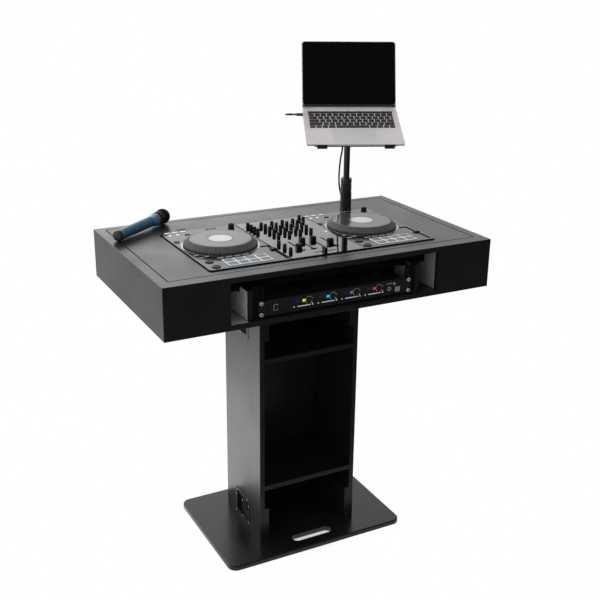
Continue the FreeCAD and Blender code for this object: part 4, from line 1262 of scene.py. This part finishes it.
def laptop_deck():
    matrix = tray_matrix()
    keys = drawing("laptop_keys", "key_black", "laptop_tray", "laptop_metal")
    level = deck_level - keyboard_sink
    z = (level, level + key_rise)
    width = 2 * (keyboard_half - keyboard_side_inset)
    back = keyboard_back - keyboard_end_inset
    front = keyboard_back - keyboard_depth + keyboard_end_inset
    plate(keys, span(0, width), (back - strip_depth, back), z, key_corner, matrix)
    pitch = (back - strip_depth - front) / len(key_counts)
    for row, counts in enumerate(key_counts):
        y = (front + row * pitch, front + (row + 1) * pitch - key_gap)
        for x in key_row(counts, width):
            plate(keys, x, y, z, key_corner, matrix)
    pad = drawing("laptop_trackpad", "trackpad_metal", "laptop_tray", "laptop_metal")
    pad_front = -laptop_depth / 2 + trackpad_front
    plate(pad, (-trackpad_half, trackpad_half), (pad_front, pad_front + trackpad_depth),
          (deck_level, deck_level + trackpad_rise), trackpad_corner, matrix)
    holes = drawing("laptop_speakers", "key_black", "laptop_tray", "laptop_metal")
    low, high = [deck_level + value for value in speaker_levels]
    profile = [(0, low), (speaker_hole_radius, low), (speaker_hole_radius, high), (0, high)]
    for side in (-1, 1):
        for i in range(speaker_holes):
            y = front + speaker_front + i * (keyboard_depth - speaker_end) / speaker_holes
            for column in range(speaker_columns):
                x = side * (keyboard_half + speaker_start + column * speaker_pitch)
                lathe(holes, profile, matrix @ at(x, y, 0), speaker_hole_sides)


def key_row(counts, width):
    """Edges of a row's keys, whose widths are counted in unit keys. The last key takes what is left."""
    unit = width / key_columns
    edges = []
    x = -width / 2
    for count in counts + [key_columns - sum(counts)]:
        if count > 0:
            edges.append((x + key_gap / 2, x + count * unit - key_gap / 2))
            x += count * unit
    return edges


def lid_matrix():
    return tray_matrix() @ at(0, hinge_back, hinge_rise) @ turn(180 - screen_angle, "X")


def laptop_screen():
    matrix = lid_matrix()
    low, high = local_box("laptop_lid", matrix)
    x = (low.x + bezel, high.x - bezel)
    face = high.z
    glass = drawing("laptop_glass", "screen_glass", "laptop_lid", "laptop_metal")
    plate(glass, x, (chin, high.y - bezel), (face, face + glass_gauge), glass_corner, matrix)
    strip = drawing("laptop_chin", "chin_grey", "laptop_lid", "laptop_metal")
    plate(strip, x, (chin_start, chin - chin_gap), (face, face + chin_gauge), chin_corner, matrix)


def local_box(node, matrix):
    inverse = matrix.inverted()
    corners = [inverse @ (vertex.co / MM) for vertex in frame["nodes"][node].data.vertices]
    low = Vector([min(corner[i] for corner in corners) for i in range(3)])
    high = Vector([max(corner[i] for corner in corners) for i in range(3)])
    return low, high


# Stand
def stand_clutch():
    low, high = node_box("stand_clutch")
    center = middle("stand_clutch")
    radius = (high.x - low.x) / 2
    height = high.z - low.z
    groove = radius - clutch_groove_depth
    profile = [(clutch_bore, 0), (radius, 0)]
    wide, narrow = clutch_groove_halves
    for level in clutch_grooves:
        profile += [(radius, level - wide), (groove, level - narrow)]
        profile += [(groove, level + narrow), (radius, level + wide)]
    profile += [(radius, height - clutch_taper), (clutch_top_radius, height)]
    profile += [(clutch_bore, height), (clutch_bore, 0)]
    matrix = at(center.x, center.y, low.z)
    mesh = drawing("clutch_grip", "clutch_rubber", "stand_clutch", "clutch_rubber", "stand_clutch")
    lathe(mesh, profile, matrix, flute_steps * clutch_flutes, fluted(clutch_flute_depth))


# Microphone
def mic_matrix():
    lean = math.degrees(math.asin((grille_radius - mic_butt_radius) / (grille_at - mic_butt_round)))
    lay = turn(mic_heading, "Z") @ turn(90 - lean, "Y")
    axis = lay @ Vector((0, 0, 1))
    ball_z = node_box("mic_grille")[0].z + grille_radius
    return at(*mic_start, ball_z - axis.z * grille_at) @ lay


def microphone():
    matrix = mic_matrix()
    butt = mic_butt_radius
    ring_start = mic_cap - mic_cap_ring

    def taper(z):
        return butt + (mic_neck_radius - butt) * (z - mic_cap) / (mic_neck - mic_cap)

    def mic_piece(name, profile, material, *nodes):
        mesh = drawing(name, material, "microphone", "mic_paint", *nodes)
        lathe(mesh, profile, matrix)

    barrel = [(0, mic_cap), (butt, mic_cap)]
    for z in mic_grooves:
        half, end = z + mic_groove_width / 2, z + mic_groove_width
        barrel += [(taper(z), z), (taper(z) - mic_groove_depth, half), (taper(end), end)]
    barrel += [(mic_neck_radius, mic_neck), (0, mic_neck)]
    flare_end = (mic_ring_radius - mic_flare_edge[0], mic_shoulder - mic_flare_edge[1])
    mic_piece("mic_cap", [(0, 0), (butt - mic_butt_round, 0), (butt - mic_butt_edge, mic_butt_edge),
                          (butt, mic_butt_round), (butt, ring_start), (0, ring_start)], "mic_black")
    mic_piece("mic_cap_ring", hoop_profile(butt / 2, butt, (ring_start, mic_cap)), "mic_bronze")
    mic_piece("mic_barrel", barrel, "mic_blue", "mic_body")
    flare = [(0, mic_neck), (mic_neck_radius, mic_neck), flare_end,
             (mic_ring_radius - mic_flare_inset, mic_shoulder), (0, mic_shoulder)]
    mic_piece("mic_flare", flare, "mic_pale_blue")
    mic_piece("mic_band", hoop_profile(mic_ring_radius / 2, mic_ring_radius - mic_band_inset,
                                       (mic_shoulder, mic_collar)), "mic_bronze")
    grille(matrix @ at(0, 0, grille_at))


def on_ball(radius, polar, azimuth=0):
    flat = radius * math.sin(polar)
    return Vector((flat * math.cos(azimuth), flat * math.sin(azimuth), radius * math.cos(polar)))


def grille(center):
    """Crossed wires on the ball over a foam core, with a stiff band at its middle and one below it."""
    lowest = math.pi - math.asin(mic_ring_radius / grille_radius)
    radius = grille_radius - wire_radius
    mesh = drawing("mic_mesh", "grille_wire", "microphone", "grille_metal", "mic_grille")
    for i in range(wire_rings):
        spot = on_ball(radius, lowest * (i + wire_ring_shift) / wire_rings)
        hoop_wire(mesh, center, spot.x, spot.z)
    for i in range(wire_spokes):
        start = spoke_starts[i % 2]
        polars = [start + (lowest - start) * step / spoke_steps for step in range(spoke_steps + 1)]
        points = [center @ on_ball(radius, polar, 2 * math.pi * i / wire_spokes) for polar in polars]
        tube(mesh, points, wire_radius, spoke_sides)
    hoop(mesh, grille_radius - grille_band[0], grille_radius, (-grille_band[1], grille_band[1]), center)
    band_top = grille_radius * math.cos(lowest)
    hoop(mesh, mic_ring_radius - grille_collar, mic_ring_radius, (mic_collar - grille_at, band_top), center)
    core = drawing("mic_foam", "grille_foam", "microphone", "grille_metal")
    spots = [on_ball(grille_radius - foam_inset, lowest * i / foam_steps) for i in range(foam_steps)]
    profile = [(spot.x, spot.z) for spot in spots]
    lathe(core, profile + [(0, profile[-1][1])], center)


def hoop_wire(mesh, center, radius, height):
    profile = []
    for i in range(wire_sides + 1):
        angle = 2 * math.pi * (i % wire_sides) / wire_sides
        profile.append((radius + wire_radius * math.cos(angle), height + wire_radius * math.sin(angle)))
    lathe(mesh, profile, center, wire_ring_sides)


camera()
leads()
sky()
for lamp_values in lamps:
    lamp(*lamp_values)
floor()
dress_nodes()
jog_wheels()
mixer_plate()
controller_trims()
lid_joint_shade()
pocket_floor_painted_reflection()
wheel_rings()
pad_light()
small_buttons()
mixer_knobs()
browse_knobs()
fader_caps()
deck_buttons()
receiver_front()
rack_screw_heads()
latch_rivets()
laptop_deck()
laptop_screen()
stand_clutch()
microphone()
for drawn_values in drawn:
    rigid(*drawn_values)

bpy.context.scene.view_settings.view_transform = "Standard"
